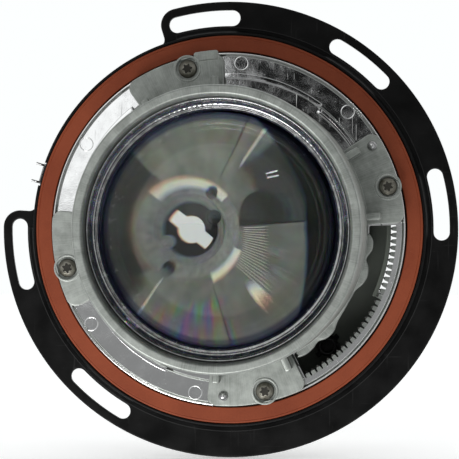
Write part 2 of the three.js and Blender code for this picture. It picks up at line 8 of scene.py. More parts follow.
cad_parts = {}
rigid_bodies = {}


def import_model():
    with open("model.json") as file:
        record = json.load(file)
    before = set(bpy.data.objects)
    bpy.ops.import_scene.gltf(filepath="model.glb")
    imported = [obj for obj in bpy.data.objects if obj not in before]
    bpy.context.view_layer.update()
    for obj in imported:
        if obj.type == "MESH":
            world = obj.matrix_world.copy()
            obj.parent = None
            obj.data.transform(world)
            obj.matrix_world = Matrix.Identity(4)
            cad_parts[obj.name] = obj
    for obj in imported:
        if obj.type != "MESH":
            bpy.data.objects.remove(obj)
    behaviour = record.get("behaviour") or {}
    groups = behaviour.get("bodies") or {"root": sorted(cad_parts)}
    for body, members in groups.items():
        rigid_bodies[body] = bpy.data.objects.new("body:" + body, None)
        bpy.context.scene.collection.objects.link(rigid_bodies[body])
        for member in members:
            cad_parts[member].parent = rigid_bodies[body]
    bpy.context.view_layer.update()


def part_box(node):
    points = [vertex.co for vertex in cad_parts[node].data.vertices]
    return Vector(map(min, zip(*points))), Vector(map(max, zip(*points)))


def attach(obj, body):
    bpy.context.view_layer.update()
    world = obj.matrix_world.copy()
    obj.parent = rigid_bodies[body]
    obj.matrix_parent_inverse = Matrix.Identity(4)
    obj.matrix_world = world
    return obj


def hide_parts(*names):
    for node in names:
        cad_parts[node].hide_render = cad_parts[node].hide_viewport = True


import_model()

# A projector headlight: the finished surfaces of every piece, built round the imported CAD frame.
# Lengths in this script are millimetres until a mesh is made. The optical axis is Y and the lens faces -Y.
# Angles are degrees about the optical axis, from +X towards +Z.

MM = 0.001


def low(node, axis):
    """The lowest coordinate of a CAD node along an axis, in mm."""
    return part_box(node)[0]["xyz".index(axis)] / MM


def high(node, axis):
    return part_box(node)[1]["xyz".index(axis)] / MM


def centre(node):
    """The middle of a CAD node seen along the optical axis, as (x, z) in mm."""
    return (low(node, "x") + high(node, "x")) / 2, (low(node, "z") + high(node, "z")) / 2


def sine(degrees):
    return math.sin(math.radians(degrees))


def cosine(degrees):
    return math.cos(math.radians(degrees))


def polar(radius, degrees):
    return radius * cosine(degrees), radius * sine(degrees)


def span_of(length, radius):
    """The angle that a length along a circle takes up."""
    return math.degrees(length / radius)


# ---------------- sizes

FLANGE_RADIUS = 73.0
FLANGE_BACK = 2.5
SLOT = {"circle": 67.75, "width": 5.1, "span": 19.5, "angles": (6.8, 51.8, 96.8, 186.8, 231.8)}
HUB_INNER, HUB_OUTER = 57.0, 62.9
HUB_SEAT, HUB_RIM, RIM_INNER = -1.5, low("mounting_ring", "y"), 62.0
SHOULDER = 64.3
SKIRT_BACK = high("mounting_ring", "y")
GASKET = {"inner": 56.75, "outer": 61.75, "front": low("gasket", "y"), "back": high("gasket", "y")}
CLIP_ANGLES = {"left": 163.5, "right": 60.0, "bottom": 245.0}

MIRROR_RIM, MIRROR_FRONT, BEAD = 56.2, -5.4, 0.6
RECESS_RADIUS, RECESS_FLOOR = 48.6, -2.6
BOWL_CENTRE, BOWL_LENGTH, BOWL_WIDTH = 15.0, 52.0, 39.3
NECK_RADIUS, BULB_HOLE = 21.0, 15.0
NECK_Y = BOWL_CENTRE + BOWL_LENGTH * math.sqrt(1 - (NECK_RADIUS / BOWL_WIDTH) ** 2)
WINDOW = {"inner": 44.7, "outer": 53.4, "start": 297.5, "end": 361.5}

APEX = low("lens", "y")
LENS_FLAT = high("lens", "y")
LENS_EDGE = -49.0
LENS_RADIUS, LENS_CLEAR, VERTEX_RADIUS = 38.2, 35.3, 24.0

MOUTH = low("lens_holder", "y")
BARREL_BACK = high("lens_holder", "y")
BARREL = {"base": 44.4, "mouth": 43.2, "bore": 39.8, "seat": 36.0, "wall": 2.6}
LUG_OUTER, LUG_FRONT, LUG_BACK = 56.0, -9.3, -6.3
LUGS = ((91.5, 125.5), (173.5, 207), (263, 297), (2, 34))
SCREW_SIDES = {"top": 104.0, "left": 193.5, "bottom": 283.0, "right": 15.0}
SCREW_CIRCLE = 52.5

COLLAR_THICKNESS = 3.0
COLLAR_RIM = high("bulb_collar", "y")
COLLAR_FACE = NECK_Y + 2.5
COLLAR_BACK = COLLAR_FACE + COLLAR_THICKNESS
COLLAR_SCREW_CIRCLE, COLLAR_SCREW_ANGLES = 18.0, (60, 240)
BAIL = {"half": 11.5, "end": 15.1, "hinge": 19.5, "lift": 3.4, "reach": 39.5}
CHAMBER = {"inner": 43.2, "outer": 54.8, "start": 293, "end": 366, "narrow": 51.6, "narrow_start": 337}
PAN_HEAD = {"head": 2.95, "height": 2, "shank": 1.5}
SMALL_HEAD = {"head": 1.9, "height": 1.2, "shank": 0.9}
SHIELD_TURN = 105.0


# ---------------- mesh helpers

def link(obj):
    bpy.context.scene.collection.objects.link(obj)
    return obj


def to_object(name, bm, smooth_angle=38):
    bmesh.ops.recalc_face_normals(bm, faces=bm.faces)
    mesh = bpy.data.meshes.new(name)
    bm.to_mesh(mesh)
    bm.free()
    for polygon in mesh.polygons:
        polygon.use_smooth = True
    mesh.set_sharp_from_angle(angle=math.radians(smooth_angle))
    return link(bpy.data.objects.new(name, mesh))


def bend(first, corner, last, steps):
    """Points along the curve that rounds a corner."""
    return [first.lerp(corner, k / steps).lerp(corner.lerp(last, k / steps), k / steps)
            for k in range(steps + 1)]


def rounded(points, radius, steps=3):
    """A closed outline with its corners rounded, as far as its edges allow."""
    out = []
    count = len(points)
    for i, (x, y) in enumerate(points):
        here = Vector((x, y))
        before = Vector(points[i - 1]) - here
        after = Vector(points[(i + 1) % count]) - here
        on_axis = x == 0 and (points[i - 1][0] == 0 or points[(i + 1) % count][0] == 0)
        straight = before.length == 0 or after.length == 0 or before.angle(-after) < math.radians(14)
        if on_axis or straight:
            out.append((x, y))
            continue
        size = min(radius, before.length * 0.42, after.length * 0.42)
        first = here + before.normalized() * size
        last = here + after.normalized() * size
        out += [(point.x, point.y) for point in bend(first, here, last, steps)]
    return out


def lathe(name, outline, segments=240, start=0.0, end=360.0, wave=None):
    """Turns a closed outline of (radius, y) points about the optical axis. wave(radius, y, degrees), where
    given, returns the radius and y of a point to use instead."""
    bm = bmesh.new()
    full = end - start >= 360
    count = segments if full else segments + 1
    rings = []
    for radius, y in outline:
        if radius == 0:
            rings.append([bm.verts.new((0, y * MM, 0))])
            continue
        ring = []
        for i in range(count):
            degrees = start + (end - start) * i / segments
            r, along = wave(radius, y, degrees) if wave else (radius, y)
            x, z = polar(r, degrees)
            ring.append(bm.verts.new((x * MM, along * MM, z * MM)))
        rings.append(ring)
    for first, second in zip(rings, rings[1:] + rings[:1]):
        if len(first) == 1 and len(second) == 1:
            continue
        for i in range(segments):
            j = (i + 1) % count
            corners = [first[i % len(first)], first[j % len(first)], second[j % len(second)],
                       second[i % len(second)]]
            bm.faces.new(list(dict.fromkeys(corners)))
    if not full:
        for at in (0, -1):
            bm.faces.new([ring[at] for ring in rings])
    return to_object(name, bm)


def tube(name, inner, outer, front, back, corner, segments, start=0.0, end=360.0, steps=3):
    """A ring of rectangular section with rounded edges, or a disc where the inner radius is 0."""
    outline = rounded([(inner, front), (outer, front), (outer, back), (inner, back)], corner, steps)
    return lathe(name, outline, segments, start, end)


def arc(radius, start, end, step=2.0, middle=(0.0, 0.0)):
    count = max(1, math.ceil(abs(end - start) / step))
    points = []
    for i in range(count + 1):
        x, z = polar(radius, start + (end - start) * i / count)
        points.append((x + middle[0], z + middle[1]))
    return points


def sector(inner, outer, start, end, corner=0.0, inner_corner=0.0):
    """A ring sector whose outer corners, and if asked its inner ones, are round."""
    points = []
    if corner:
        turn = span_of(corner, outer - corner)
        points += arc(corner, start - 90, start + turn, 12, polar(outer - corner, start + turn))
        points += arc(outer, start + turn, end - turn)[1:-1]
        points += arc(corner, end - turn, end + 90, 12, polar(outer - corner, end - turn))
    else:
        points += arc(outer, start, end)
    if inner_corner:
        turn = span_of(inner_corner, inner + inner_corner)
        points += arc(inner_corner, end + 90, end + 180, 12, polar(inner + inner_corner, end - turn))
        points += arc(inner, end - turn, start + turn)[1:-1]
        points += arc(inner_corner, start + 180, start + 270, 12, polar(inner + inner_corner, start + turn))
    else:
        points += arc(inner, end, start)
    return points


def circle(radius, middle=(0.0, 0.0), step=12.0):
    return arc(radius, 0, 360, step, middle)[1:]


def settle(obj, name, smooth_angle=38):
    """Replaces an object by the mesh that its modifiers or its curve make, welded and smooth."""
    graph = bpy.context.evaluated_depsgraph_get()
    mesh = bpy.data.meshes.new_from_object(obj.evaluated_get(graph))
    mesh.transform(obj.matrix_world)
    bpy.data.objects.remove(obj)
    bm = bmesh.new()
    bm.from_mesh(mesh)
    bmesh.ops.remove_doubles(bm, verts=bm.verts, dist=2e-6)
    return to_object(name, bm, smooth_angle)


def curve_through(name, paths, closed, **settings):
    curve = bpy.data.curves.new(name, "CURVE")
    for key, value in settings.items():
        setattr(curve, key, value)
    for path in paths:
        spline = curve.splines.new("POLY")
        spline.points.add(len(path) - 1)
        for point, place in zip(spline.points, path):
            point.co = (*place, 1)
        spline.use_cyclic_u = closed
    return link(bpy.data.objects.new(name, curve))


def plate(name, outlines, front, back, bevel=0.3, bevel_steps=2):
    """A plate with rounded edges between two y planes. The first outline is its edge, the others holes."""
    paths = [[(x * MM, z * MM, 0) for x, z in outline] for outline in outlines]
    obj = curve_through(name, paths, True, dimensions="2D", fill_mode="BOTH",
                        extrude=((back - front) / 2 - bevel) * MM, bevel_depth=bevel * MM,
                        bevel_resolution=bevel_steps, offset=-bevel * MM)
    middle = Matrix.Translation((0, (front + back) / 2 * MM, 0))
    obj.matrix_world = middle @ Matrix.Rotation(math.pi / 2, 4, "X")
    bpy.context.view_layer.update()
    return settle(obj, name)


def block(name, size, middle, turn=0.0, bevel=0.3):
    """A box with rounded edges. size and middle are along the radius, y and the tangent, and the box is then
    turned about the optical axis."""
    bm = bmesh.new()
    bmesh.ops.create_cube(bm, size=1)
    bmesh.ops.scale(bm, vec=[length * MM for length in size], verts=bm.verts)
    if bevel:
        bmesh.ops.bevel(bm, geom=bm.edges, offset=bevel * MM, segments=2, profile=0.5, affect="EDGES")
    bmesh.ops.translate(bm, vec=[at * MM for at in middle], verts=bm.verts)
    bmesh.ops.rotate(bm, cent=(0, 0, 0), matrix=Matrix.Rotation(-math.radians(turn), 3, "Y"), verts=bm.verts)
    return to_object(name, bm)


def move(obj, x=0.0, y=0.0, z=0.0):
    obj.data.transform(Matrix.Translation((x * MM, y * MM, z * MM)))
    return obj


def place(obj, circle_radius, degrees, y):
    """Moves a piece made on the optical axis out to a circle about it."""
    x, z = polar(circle_radius, degrees)
    return move(obj, x, y, z)


def place_at(obj, node, y):
    """Moves a piece made on the optical axis to the middle of a CAD node."""
    x, z = centre(node)
    return move(obj, x, y, z)


def paint(obj, *materials):
    for material in materials:
        obj.data.materials.append(material)
    return obj


def spin(obj, degrees):
    """Turns a mesh about the optical axis."""
    obj.data.transform(Matrix.Rotation(-math.radians(degrees), 4, "Y"))
    return obj


def merge(name, objects):
    """Joins meshes into one object, keeping each one's material."""
    bm = bmesh.new()
    materials = []
    for obj in objects:
        first = len(bm.faces)
        bm.from_mesh(obj.data)
        bm.faces.ensure_lookup_table()
        for material in obj.data.materials:
            if material not in materials:
                materials.append(material)
        if materials:
            for face in bm.faces[first:]:
                face.material_index = materials.index(obj.data.materials[face.material_index])
        bpy.data.objects.remove(obj)
    mesh = bpy.data.meshes.new(name)
    bm.to_mesh(mesh)
    bm.free()
    for material in materials:
        mesh.materials.append(material)
    return link(bpy.data.objects.new(name, mesh))


def carve(obj, tools):
    """Cuts tools out of an object and keeps the result's edges crisp."""
    for tool in tools:
        modifier = obj.modifiers.new("carve", "BOOLEAN")
        modifier.operation = "DIFFERENCE"
        modifier.solver = "EXACT"
        modifier.object = tool
    bpy.context.view_layer.update()
    result = settle(obj, obj.name)
    for tool in tools:
        bpy.data.objects.remove(tool)
    return result


def wire(name, points, radius, bend_length):
    """A round wire through 3-D corner points, with its corners bent round."""
    path = []
    for i, corner in enumerate(points):
        here = Vector(corner)
        if i in (0, len(points) - 1):
            path.append(here)
            continue
        before = Vector(points[i - 1])
        after = Vector(points[i + 1])
        first = here.lerp(before, min(0.5, bend_length / (here - before).length))
        last = here.lerp(after, min(0.5, bend_length / (here - after).length))
        path += bend(first, here, last, 8)
    obj = curve_through(name, [[corner * MM for corner in path]], False, dimensions="3D",
                        bevel_depth=radius * MM, bevel_resolution=6, use_fill_caps=True)
    bpy.context.view_layer.update()
    return settle(obj, name, 60)


def base_name(data):
    """A name without the number that Blender adds when the name is taken."""
    return data.name.split(".")[0]


def ready(obj, material=None, body="lamp_body"):
    """Gives a finished piece its material, its flattened normals and the body it rides on, and hides the CAD
    node that it is named after. Without a material it keeps the ones it was painted with."""
    if material:
        obj.data.materials.clear()
        paint(obj, material)
    flatten = obj.modifiers.new("flatten", "WEIGHTED_NORMAL")
    flatten.keep_sharp = True
    flatten.weight = 90
    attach(obj, body)
    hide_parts(base_name(obj))
    return obj


# ---------------- material helpers

class Nodes:
    """A node tree under construction."""

    def __init__(self, owner):
        owner.use_nodes = True
        self.tree = owner.node_tree

    def node(self, kind, **values):
        made = self.tree.nodes.new(kind)
        for key, value in values.items():
            setattr(made, key, value)
        return made

    def plug(self, value, socket):
        if isinstance(value, bpy.types.NodeSocket):
            self.tree.links.new(value, socket)
        else:
            socket.default_value = value

    def ramp(self, value, start, end, first=0.0, last=1.0, kind="LINEAR"):
        made = self.node("ShaderNodeMapRange", interpolation_type=kind)
        self.plug(value, made.inputs["Value"])
        for key, number in zip(("From Min", "From Max", "To Min", "To Max"), (start, end, first, last)):
            made.inputs[key].default_value = number
        return made.outputs["Result"]

    def math(self, operation, first, second=0.0, third=0.0):
        made = self.node("ShaderNodeMath", operation=operation)
        for value, socket in zip((first, second, third), made.inputs):
            self.plug(value, socket)
        return made.outputs["Value"]

    def times(self, first, second):
        return self.math("MULTIPLY", first, second)

    def plus(self, first, second):
        return self.math("ADD", first, second)


class Shader(Nodes):
    """A material under construction."""

    def __init__(self, name, **settings):
        self.material = bpy.data.materials.new(name)
        super().__init__(self.material)
        self.surface = self.tree.nodes["Principled BSDF"]
        self.output = self.tree.nodes["Material Output"]
        for key, value in settings.items():
            self.surface.inputs[key.replace("_", " ")].default_value = value
        self.position = self.node("ShaderNodeNewGeometry").outputs["Position"]
        self.bumps = None

    def stretched(self, scale, rotation):
        """The shaded position, turned by angles in degrees and stretched."""
        mapping = self.node("ShaderNodeMapping")
        self.plug(self.position, mapping.inputs["Vector"])
        mapping.inputs["Scale"].default_value = scale
        mapping.inputs["Rotation"].default_value = [math.radians(turn) for turn in rotation]
        return mapping.outputs["Vector"]

    def noise(self, size, detail, roughness=0.5, vector=None):
        """Noise whose grain is about `size` mm."""
        made = self.node("ShaderNodeTexNoise")
        self.plug(vector or self.position, made.inputs["Vector"])
        made.inputs["Scale"].default_value = 1 / (size * MM)
        made.inputs["Detail"].default_value = detail
        made.inputs["Roughness"].default_value = roughness
        made.inputs["Distortion"].default_value = 0.0
        return made.outputs["Fac"]

    def cells(self, size, vector=None):
        made = self.node("ShaderNodeTexVoronoi")
        self.plug(vector or self.position, made.inputs["Vector"])
        made.inputs["Scale"].default_value = 1 / (size * MM)
        return made.outputs["Distance"]

    def mix(self, factor, first, second):
        """Mixes two colours."""
        made = self.node("ShaderNodeMix", data_type="RGBA")
        self.plug(factor, made.inputs["Factor"])
        for value, socket in zip((first, second), [s for s in made.inputs if s.type == "RGBA"]):
            self.plug(value, socket)
        return [s for s in made.outputs if s.type == "RGBA"][0]

    def cover(self, colour, mask, amount, top):
        """A colour covered by another where the mask is 1, as far as amount goes."""
        return self.mix(self.times(mask, amount), colour, top)

    def edges(self, radius, start=0.004, end=0.05):
        """1 along the piece's edges and 0 on its faces."""
        soft = self.node("ShaderNodeBevel", samples=4)
        soft.inputs["Radius"].default_value = radius * MM
        dot = self.node("ShaderNodeVectorMath", operation="DOT_PRODUCT")
        self.plug(soft.outputs["Normal"], dot.inputs[0])
        self.plug(self.node("ShaderNodeNewGeometry").outputs["Normal"], dot.inputs[1])
        return self.ramp(self.math("SUBTRACT", 1.0, dot.outputs["Value"]), start, end)

    def polar_place(self):
        """The radius in mm and the angle in degrees, about the optical axis, of the shaded point."""
        parts = self.node("ShaderNodeSeparateXYZ")
        self.plug(self.position, parts.inputs[0])
        x, z = parts.outputs["X"], parts.outputs["Z"]
        square = self.plus(self.times(x, x), self.times(z, z))
        radius = self.math("DIVIDE", self.math("SQRT", square), MM)
        angle = self.times(self.math("ARCTAN2", z, x), 180 / math.pi)
        return radius, angle

    def bump(self, height, depth, strength):
        """Adds a bump of `depth` mm over the ones already there."""
        made = self.node("ShaderNodeBump")
        made.inputs["Strength"].default_value = strength
        made.inputs["Distance"].default_value = depth * MM
        self.plug(height, made.inputs["Height"])
        if self.bumps:
            self.plug(self.bumps, made.inputs["Normal"])
        self.bumps = made.outputs["Normal"]

    def finish(self, colour, roughness=None):
        for value, name in ((colour, "Base Color"), (roughness, "Roughness")):
            if value is not None:
                self.plug(value, self.surface.inputs[name])
        if self.bumps:
            self.plug(self.bumps, self.surface.inputs["Normal"])
        return self.material


def grey(level, warm=0.0):
    return (level * (1 + warm), level, level * (1 - warm), 1)


# ---------------- materials

def black_paint():
    s = Shader("black_paint", Specular_IOR_Level=0.08)
    blotches = s.noise(9, 4)
    scratches = s.noise(0.9, 2, vector=s.stretched((1, 1, 0.05), (0, 32, 0)))
    crossing = s.noise(0.8, 2, vector=s.stretched((0.05, 1, 1), (0, 17, 0)))
    scratched = s.ramp(s.math("MAXIMUM", scratches, crossing), 0.66, 0.74)
    dust = s.ramp(s.cells(2.2), 0.05, 0.02)
    colour = s.mix(s.ramp(blotches, 0.35, 0.7), grey(0.0025), grey(0.006))
    colour = s.cover(colour, scratched, 0.3, grey(0.03))
    colour = s.cover(colour, dust, 0.4, grey(0.06, 0.05))
    colour = s.cover(colour, s.edges(0.35), 0.35, grey(0.06))
    s.bump(s.noise(0.7, 3), 0.03, 0.5)
    s.bump(scratched, -0.02, 0.5)
    return s.finish(colour, s.ramp(blotches, 0.3, 0.75, 0.28, 0.48))


def silicone():
    s = Shader("silicone", Specular_IOR_Level=0.18)
    patches = s.noise(14, 5, 0.6)
    grain = s.noise(0.5, 4, 0.6)
    specks = s.ramp(s.cells(1.3), 0.06, 0.02)
    pits = s.ramp(s.cells(1.7, s.stretched((1, 1, 1), (30, 20, 50))), 0.07, 0.03)
    colour = s.mix(s.ramp(patches, 0.3, 0.7), (0.150, 0.026, 0.008, 1), (0.200, 0.040, 0.014, 1))
    colour = s.mix(s.ramp(grain, 0.3, 0.8, 0.0, 0.35), colour, (0.26, 0.066, 0.028, 1))
    colour = s.cover(colour, specks, 0.5, (0.36, 0.17, 0.11, 1))
    colour = s.cover(colour, pits, 0.6, (0.08, 0.014, 0.005, 1))
    s.bump(grain, 0.05, 0.6)
    s.bump(patches, 0.2, 0.3)
    return s.finish(colour, s.ramp(grain, 0.3, 0.7, 0.5, 0.68))


def metallising():
    s = Shader("metallising", Metallic=1.0)
    waves = s.noise(16, 2)
    haze = s.noise(5, 4, 0.6)
    specks = s.ramp(s.cells(1.15), 0.07, 0.03)
    fine = s.noise(0.35, 2)
    scratches = s.noise(0.6, 2, vector=s.stretched((1, 1, 0.04), (0, 63, 0)))
    scratched = s.ramp(scratches, 0.68, 0.74)
    colour = s.mix(s.times(specks, 0.75), grey(0.84), grey(0.5))
    colour = s.cover(colour, scratched, 0.5, grey(0.6))
    s.bump(waves, 0.5, 0.12)
    s.bump(fine, 0.02, 0.22)
    s.bump(specks, -0.05, 0.6)
    s.bump(scratched, -0.02, 0.4)
    rough = s.plus(s.ramp(haze, 0.35, 0.75, 0.03, 0.14), s.times(specks, 0.3))
    return s.finish(colour, rough)


def bowl_mirror():
    """The inside of the bowl: a duller metallising with two zones of painted shade, a band of heat colours
    and a half-round patch of painted shade beside the neck."""
    s = Shader("bowl_mirror", Metallic=0.55)
    shade = (0.05, 0.055, 0.06, 1)
    radius, angle = s.polar_place()
    haze = s.noise(7, 4, 0.6)
    colour = s.mix(s.ramp(haze, 0.3, 0.7), (0.30, 0.31, 0.285, 1), (0.56, 0.57, 0.53, 1))
    turned = s.plus(angle, s.times(s.noise(9, 1), 26))
    uneven = s.plus(radius, s.times(haze, 3))
    past_seam = s.ramp(angle, -176.2, -175.6)

    # Painted shade: two zones of the bowl are turned to the dark shade colour.
    shaded = s.times(s.ramp(turned, -48, -45), s.ramp(turned, 60, 57))
    colour = s.cover(colour, s.times(shaded, s.ramp(uneven, 23.8, 24.4)), 0.8, shade)
    # The corner zone past the seam is painted shade too.
    corner = s.times(past_seam, s.ramp(turned, -118, -122))
    colour = s.cover(colour, s.times(corner, s.ramp(uneven, 29.4, 29.9)), 0.75, shade)

    hue = s.node("ShaderNodeCombineColor", mode="HSV")
    s.plug(s.math("FRACT", s.times(s.noise(6, 1), 4)), hue.inputs[0])
    for socket in hue.inputs[1:]:
        socket.default_value = 0.7
    sweep = s.times(s.ramp(angle, 62, 70), s.ramp(angle, 122, 110))
    depth = s.times(s.ramp(radius, 26.0, 27.5), s.ramp(radius, 32.8, 32.2))
    depth = s.times(depth, s.ramp(s.noise(5, 2), 0.36, 0.5))
    colour = s.cover(colour, s.times(sweep, depth), 0.8, hue.outputs[0])

    # A dark half-round patch of painted shade beside the neck, rougher than the mirror round it.
    patch_circle, patch_depth, patch_turn, patch_span = 26.4, 5.4, -176, 27
    out = s.math("DIVIDE", s.math("SUBTRACT", radius, patch_circle), patch_depth)
    sideways = s.math("DIVIDE", s.math("SUBTRACT", angle, patch_turn), patch_span)
    painted_shade_patch = s.ramp(s.plus(s.times(out, out), s.times(sideways, sideways)), 1.0, 0.93)
    painted_shade_patch = s.times(painted_shade_patch, past_seam)
    colour = s.mix(painted_shade_patch, colour, (0.035, 0.037, 0.03, 1))
    s.bump(s.noise(12, 2), 0.5, 0.06)
    return s.finish(colour, s.plus(s.ramp(haze, 0.3, 0.7, 0.02, 0.06), s.times(painted_shade_patch, 0.5)))


def die_casting():
    s = Shader("die_casting", Metallic=0.75)
    angle = s.polar_place()[1]
    tooling = s.noise(1.0, 2, vector=s.times(angle, 0.0016))
    flow = s.noise(6, 5, 0.65)
    grain = s.noise(0.28, 3, 0.6)
    colour = s.mix(s.ramp(flow, 0.3, 0.72), (0.17, 0.182, 0.168, 1), (0.37, 0.39, 0.365, 1))
    colour = s.mix(s.ramp(tooling, 0.42, 0.62, 0, 0.22), colour, (0.46, 0.48, 0.45, 1))
    colour = s.cover(colour, s.edges(0.3), 0.5, (0.62, 0.64, 0.61, 1))
    s.bump(grain, 0.05, 0.55)
    s.bump(tooling, 0.03, 0.2)
    s.bump(flow, 0.3, 0.4)
    return s.finish(colour, s.ramp(grain, 0.25, 0.75, 0.34, 0.56))


def lens_glass():
    """Slightly tinted glass, with painted shade darkening it near its rim. Its three colours bend by
    different amounts, as they do at the rim of a thick lens."""
    s = Shader("lens_glass")
    s.tree.nodes.remove(s.surface)
    total = None
    index_of_glass, tint, spread = 1.52, 0.78, 0.012
    radius = s.polar_place()[0]
    rim = s.ramp(radius, 32.6, 33.6)
    for channel, index in enumerate((index_of_glass - spread, index_of_glass, index_of_glass + spread)):
        colour = [0.215 * tint, 0.22 * tint, 0.216 * tint, 1]
        colour[channel] *= 2.55
        glass = s.node("ShaderNodeBsdfGlass")
        # The rim's darker colour is painted shade.
        shadow = [colour[0] * 0.42, colour[1] * 0.44, colour[2] * 0.62, 1]
        s.plug(s.mix(rim, tuple(colour), tuple(shadow)), glass.inputs["Color"])
        glass.inputs["Roughness"].default_value = 0
        glass.inputs["IOR"].default_value = index
        if total is None:
            total = glass.outputs[0]
            continue
        both = s.node("ShaderNodeAddShader")
        s.plug(total, both.inputs[0])
        s.plug(glass.outputs[0], both.inputs[1])
        total = both.outputs[0]
    s.plug(total, s.output.inputs["Surface"])
    return s.material


def worn_metal(name, dark, light, metallic, rough, bump_depth=0.03, edge=0.5):
    """Bare or plated metal with a fine grain, darker patches and bright edges."""
    s = Shader(name, Metallic=metallic)
    patches = s.noise(2.5, 4, 0.6)
    grain = s.noise(0.22, 3)
    colour = s.mix(s.ramp(patches, 0.32, 0.7), dark, light)
    if edge:
        bright = tuple(min(1.0, channel * 1.9) for channel in light[:3]) + (1,)
        colour = s.cover(colour, s.edges(0.15), edge, bright)
    s.bump(grain, bump_depth, 0.5)
    return s.finish(colour, s.ramp(patches, 0.3, 0.7, rough, rough + 0.16))


def moulded(name, dark, light, rough, grain_size=0.35):
    """Moulded plastic or rubber with a fine spark-eroded grain."""
    s = Shader(name, Specular_IOR_Level=0.4)
    patches = s.noise(8, 4)
    grain = s.noise(grain_size, 2)
    colour = s.mix(s.ramp(patches, 0.3, 0.7), dark, light)
    s.bump(grain, 0.04, 0.6)
    return s.finish(colour, s.ramp(grain, 0.3, 0.7, rough, rough + 0.15))


BLACK_PAINT = black_paint()
SILICONE = silicone()
CHROME = metallising()
BOWL = bowl_mirror()
CASTING = die_casting()
GLASS = lens_glass()
BRIGHT_METAL = worn_metal("bright_metal", grey(0.42), grey(0.6), 1.0, 0.16)
RING_METAL = worn_metal("ring_metal", grey(0.3), grey(0.55), 1.0, 0.14, 0.015)
# A bright cream non-metal: a painted reflection on the beads, the comb, two joints and a boss inside the
# bowl.
PAINTED_REFLECTION = worn_metal("bead_metal", (0.92, 0.88, 0.76, 1), (1.0, 0.98, 0.9, 1), 0.0, 0.4)
COLLAR_METAL = worn_metal("collar_metal", grey(0.26), grey(0.46), 0.4, 0.3)
STEEL = worn_metal("steel", grey(0.30), grey(0.46), 1.0, 0.26)
SCREW_STEEL = worn_metal("screw_steel", (0.10, 0.092, 0.07, 1), (0.30, 0.29, 0.25, 1), 0.85, 0.3)
# Nearly black: grime and painted shade in the screws' driver recesses.
GRIME_AND_SHADE = moulded("grime", (0.012, 0.011, 0.008, 1), (0.04, 0.036, 0.028, 1), 0.7)
DARK_STEEL = worn_metal("dark_steel", grey(0.035), grey(0.07), 0.7, 0.4)
BARE_MOULDING = moulded("bare_moulding", (0.13, 0.128, 0.12, 1), (0.18, 0.177, 0.168, 1), 0.5)
GREY_PLASTIC = moulded("grey_plastic", (0.085, 0.098, 0.082, 1), (0.115, 0.13, 0.108, 1), 0.42)
BLACK_PLASTIC = moulded("black_plastic", grey(0.008), grey(0.014), 0.4)
BLACK_RUBBER = moulded("black_rubber", grey(0.012), grey(0.02), 0.6, 0.2)


# ---------------- mounting ring and gasket

def slot_outline(middle):
    half = SLOT["width"] / 2
    inset = SLOT["span"] / 2 - span_of(half, SLOT["circle"])
    start, end = middle - inset, middle + inset
    return (arc(SLOT["circle"] + half, start, end)
            + arc(half, end, end + 180, 15, polar(SLOT["circle"], end))[1:-1]
            + arc(SLOT["circle"] - half, end, start)
            + arc(half, start + 180, start + 360, 15, polar(SLOT["circle"], start))[1:-1])


def flange_outline():
    """The round flange, without the stretch between the ears at the top and at the left."""
    inset = SLOT["span"] / 2 - span_of(SLOT["width"] / 2, SLOT["circle"])
    top = SLOT["angles"][2] + inset
    left = SLOT["angles"][3] - inset
    ear = FLANGE_RADIUS - SLOT["circle"]
    fillet = 2.2
    turn = span_of(ear, SLOT["circle"]) + span_of(fillet, HUB_OUTER)
    return (arc(FLANGE_RADIUS, left - 360, top, 1.5)
            + arc(ear, top, top + 90, 10, polar(SLOT["circle"], top))[1:]
            + arc(fillet, top + turn + 270, top + turn + 180, 15, polar(HUB_OUTER + fillet, top + turn))
            + arc(HUB_OUTER, top + turn, left - turn)[1:-1]
            + arc(fillet, left - turn + 180, left - turn + 90, 15, polar(HUB_OUTER + fillet, left - turn))
            + arc(ear, left - 90, left, 10, polar(SLOT["circle"], left))[:-1])


def mounting_ring():
    outlines = [flange_outline(), circle(HUB_OUTER - 1.5, step=3)]
    outlines += [slot_outline(angle) for angle in SLOT["angles"]]
    flange = plate("flange", outlines, 0, FLANGE_BACK, 0.45, 3)
    ledge_inner, ledge_front, ledge_back = 55.2, -2.2, 1.5
    hub = lathe("hub", rounded([
        (ledge_inner, ledge_front + 0.4), (HUB_INNER - 0.5, ledge_front + 0.4), (HUB_INNER - 0.5, HUB_SEAT),
        (RIM_INNER, HUB_SEAT), (RIM_INNER, HUB_RIM), (HUB_OUTER, HUB_RIM), (HUB_OUTER, SKIRT_BACK),
        (HUB_OUTER - 2.4, SKIRT_BACK), (HUB_OUTER - 2.4, ledge_back), (ledge_inner, ledge_back)], 0.35), 300)
    cutters = [block("notch", (HUB_OUTER - ledge_inner + 0.5, SKIRT_BACK, 9.4),
                     ((HUB_OUTER + ledge_inner - 1.5) / 2, SKIRT_BACK / 2 + 0.4, 0), angle, 0)
               for angle in CLIP_ANGLES.values()]
    cutters.append(block("notch", (5.4, 24, 7.6), (63.3, 6, 0), CLIP_ANGLES["left"], 0))
    hub = carve(hub, cutters)
    shoulder = lathe("shoulder", rounded([
        (RIM_INNER + 0.3, 1.4), (RIM_INNER + 0.3, HUB_RIM + 1.0), (HUB_OUTER - 0.2, HUB_RIM + 0.9),
        (SHOULDER - 0.9, -1.2), (SHOULDER, -0.35), (SHOULDER + 0.35, 0.1), (SHOULDER + 0.35, 1.4)], 0.5),
        300, -180.5, 105.5)
    return ready(merge("mounting_ring", [flange, hub, shoulder]), BLACK_PAINT)


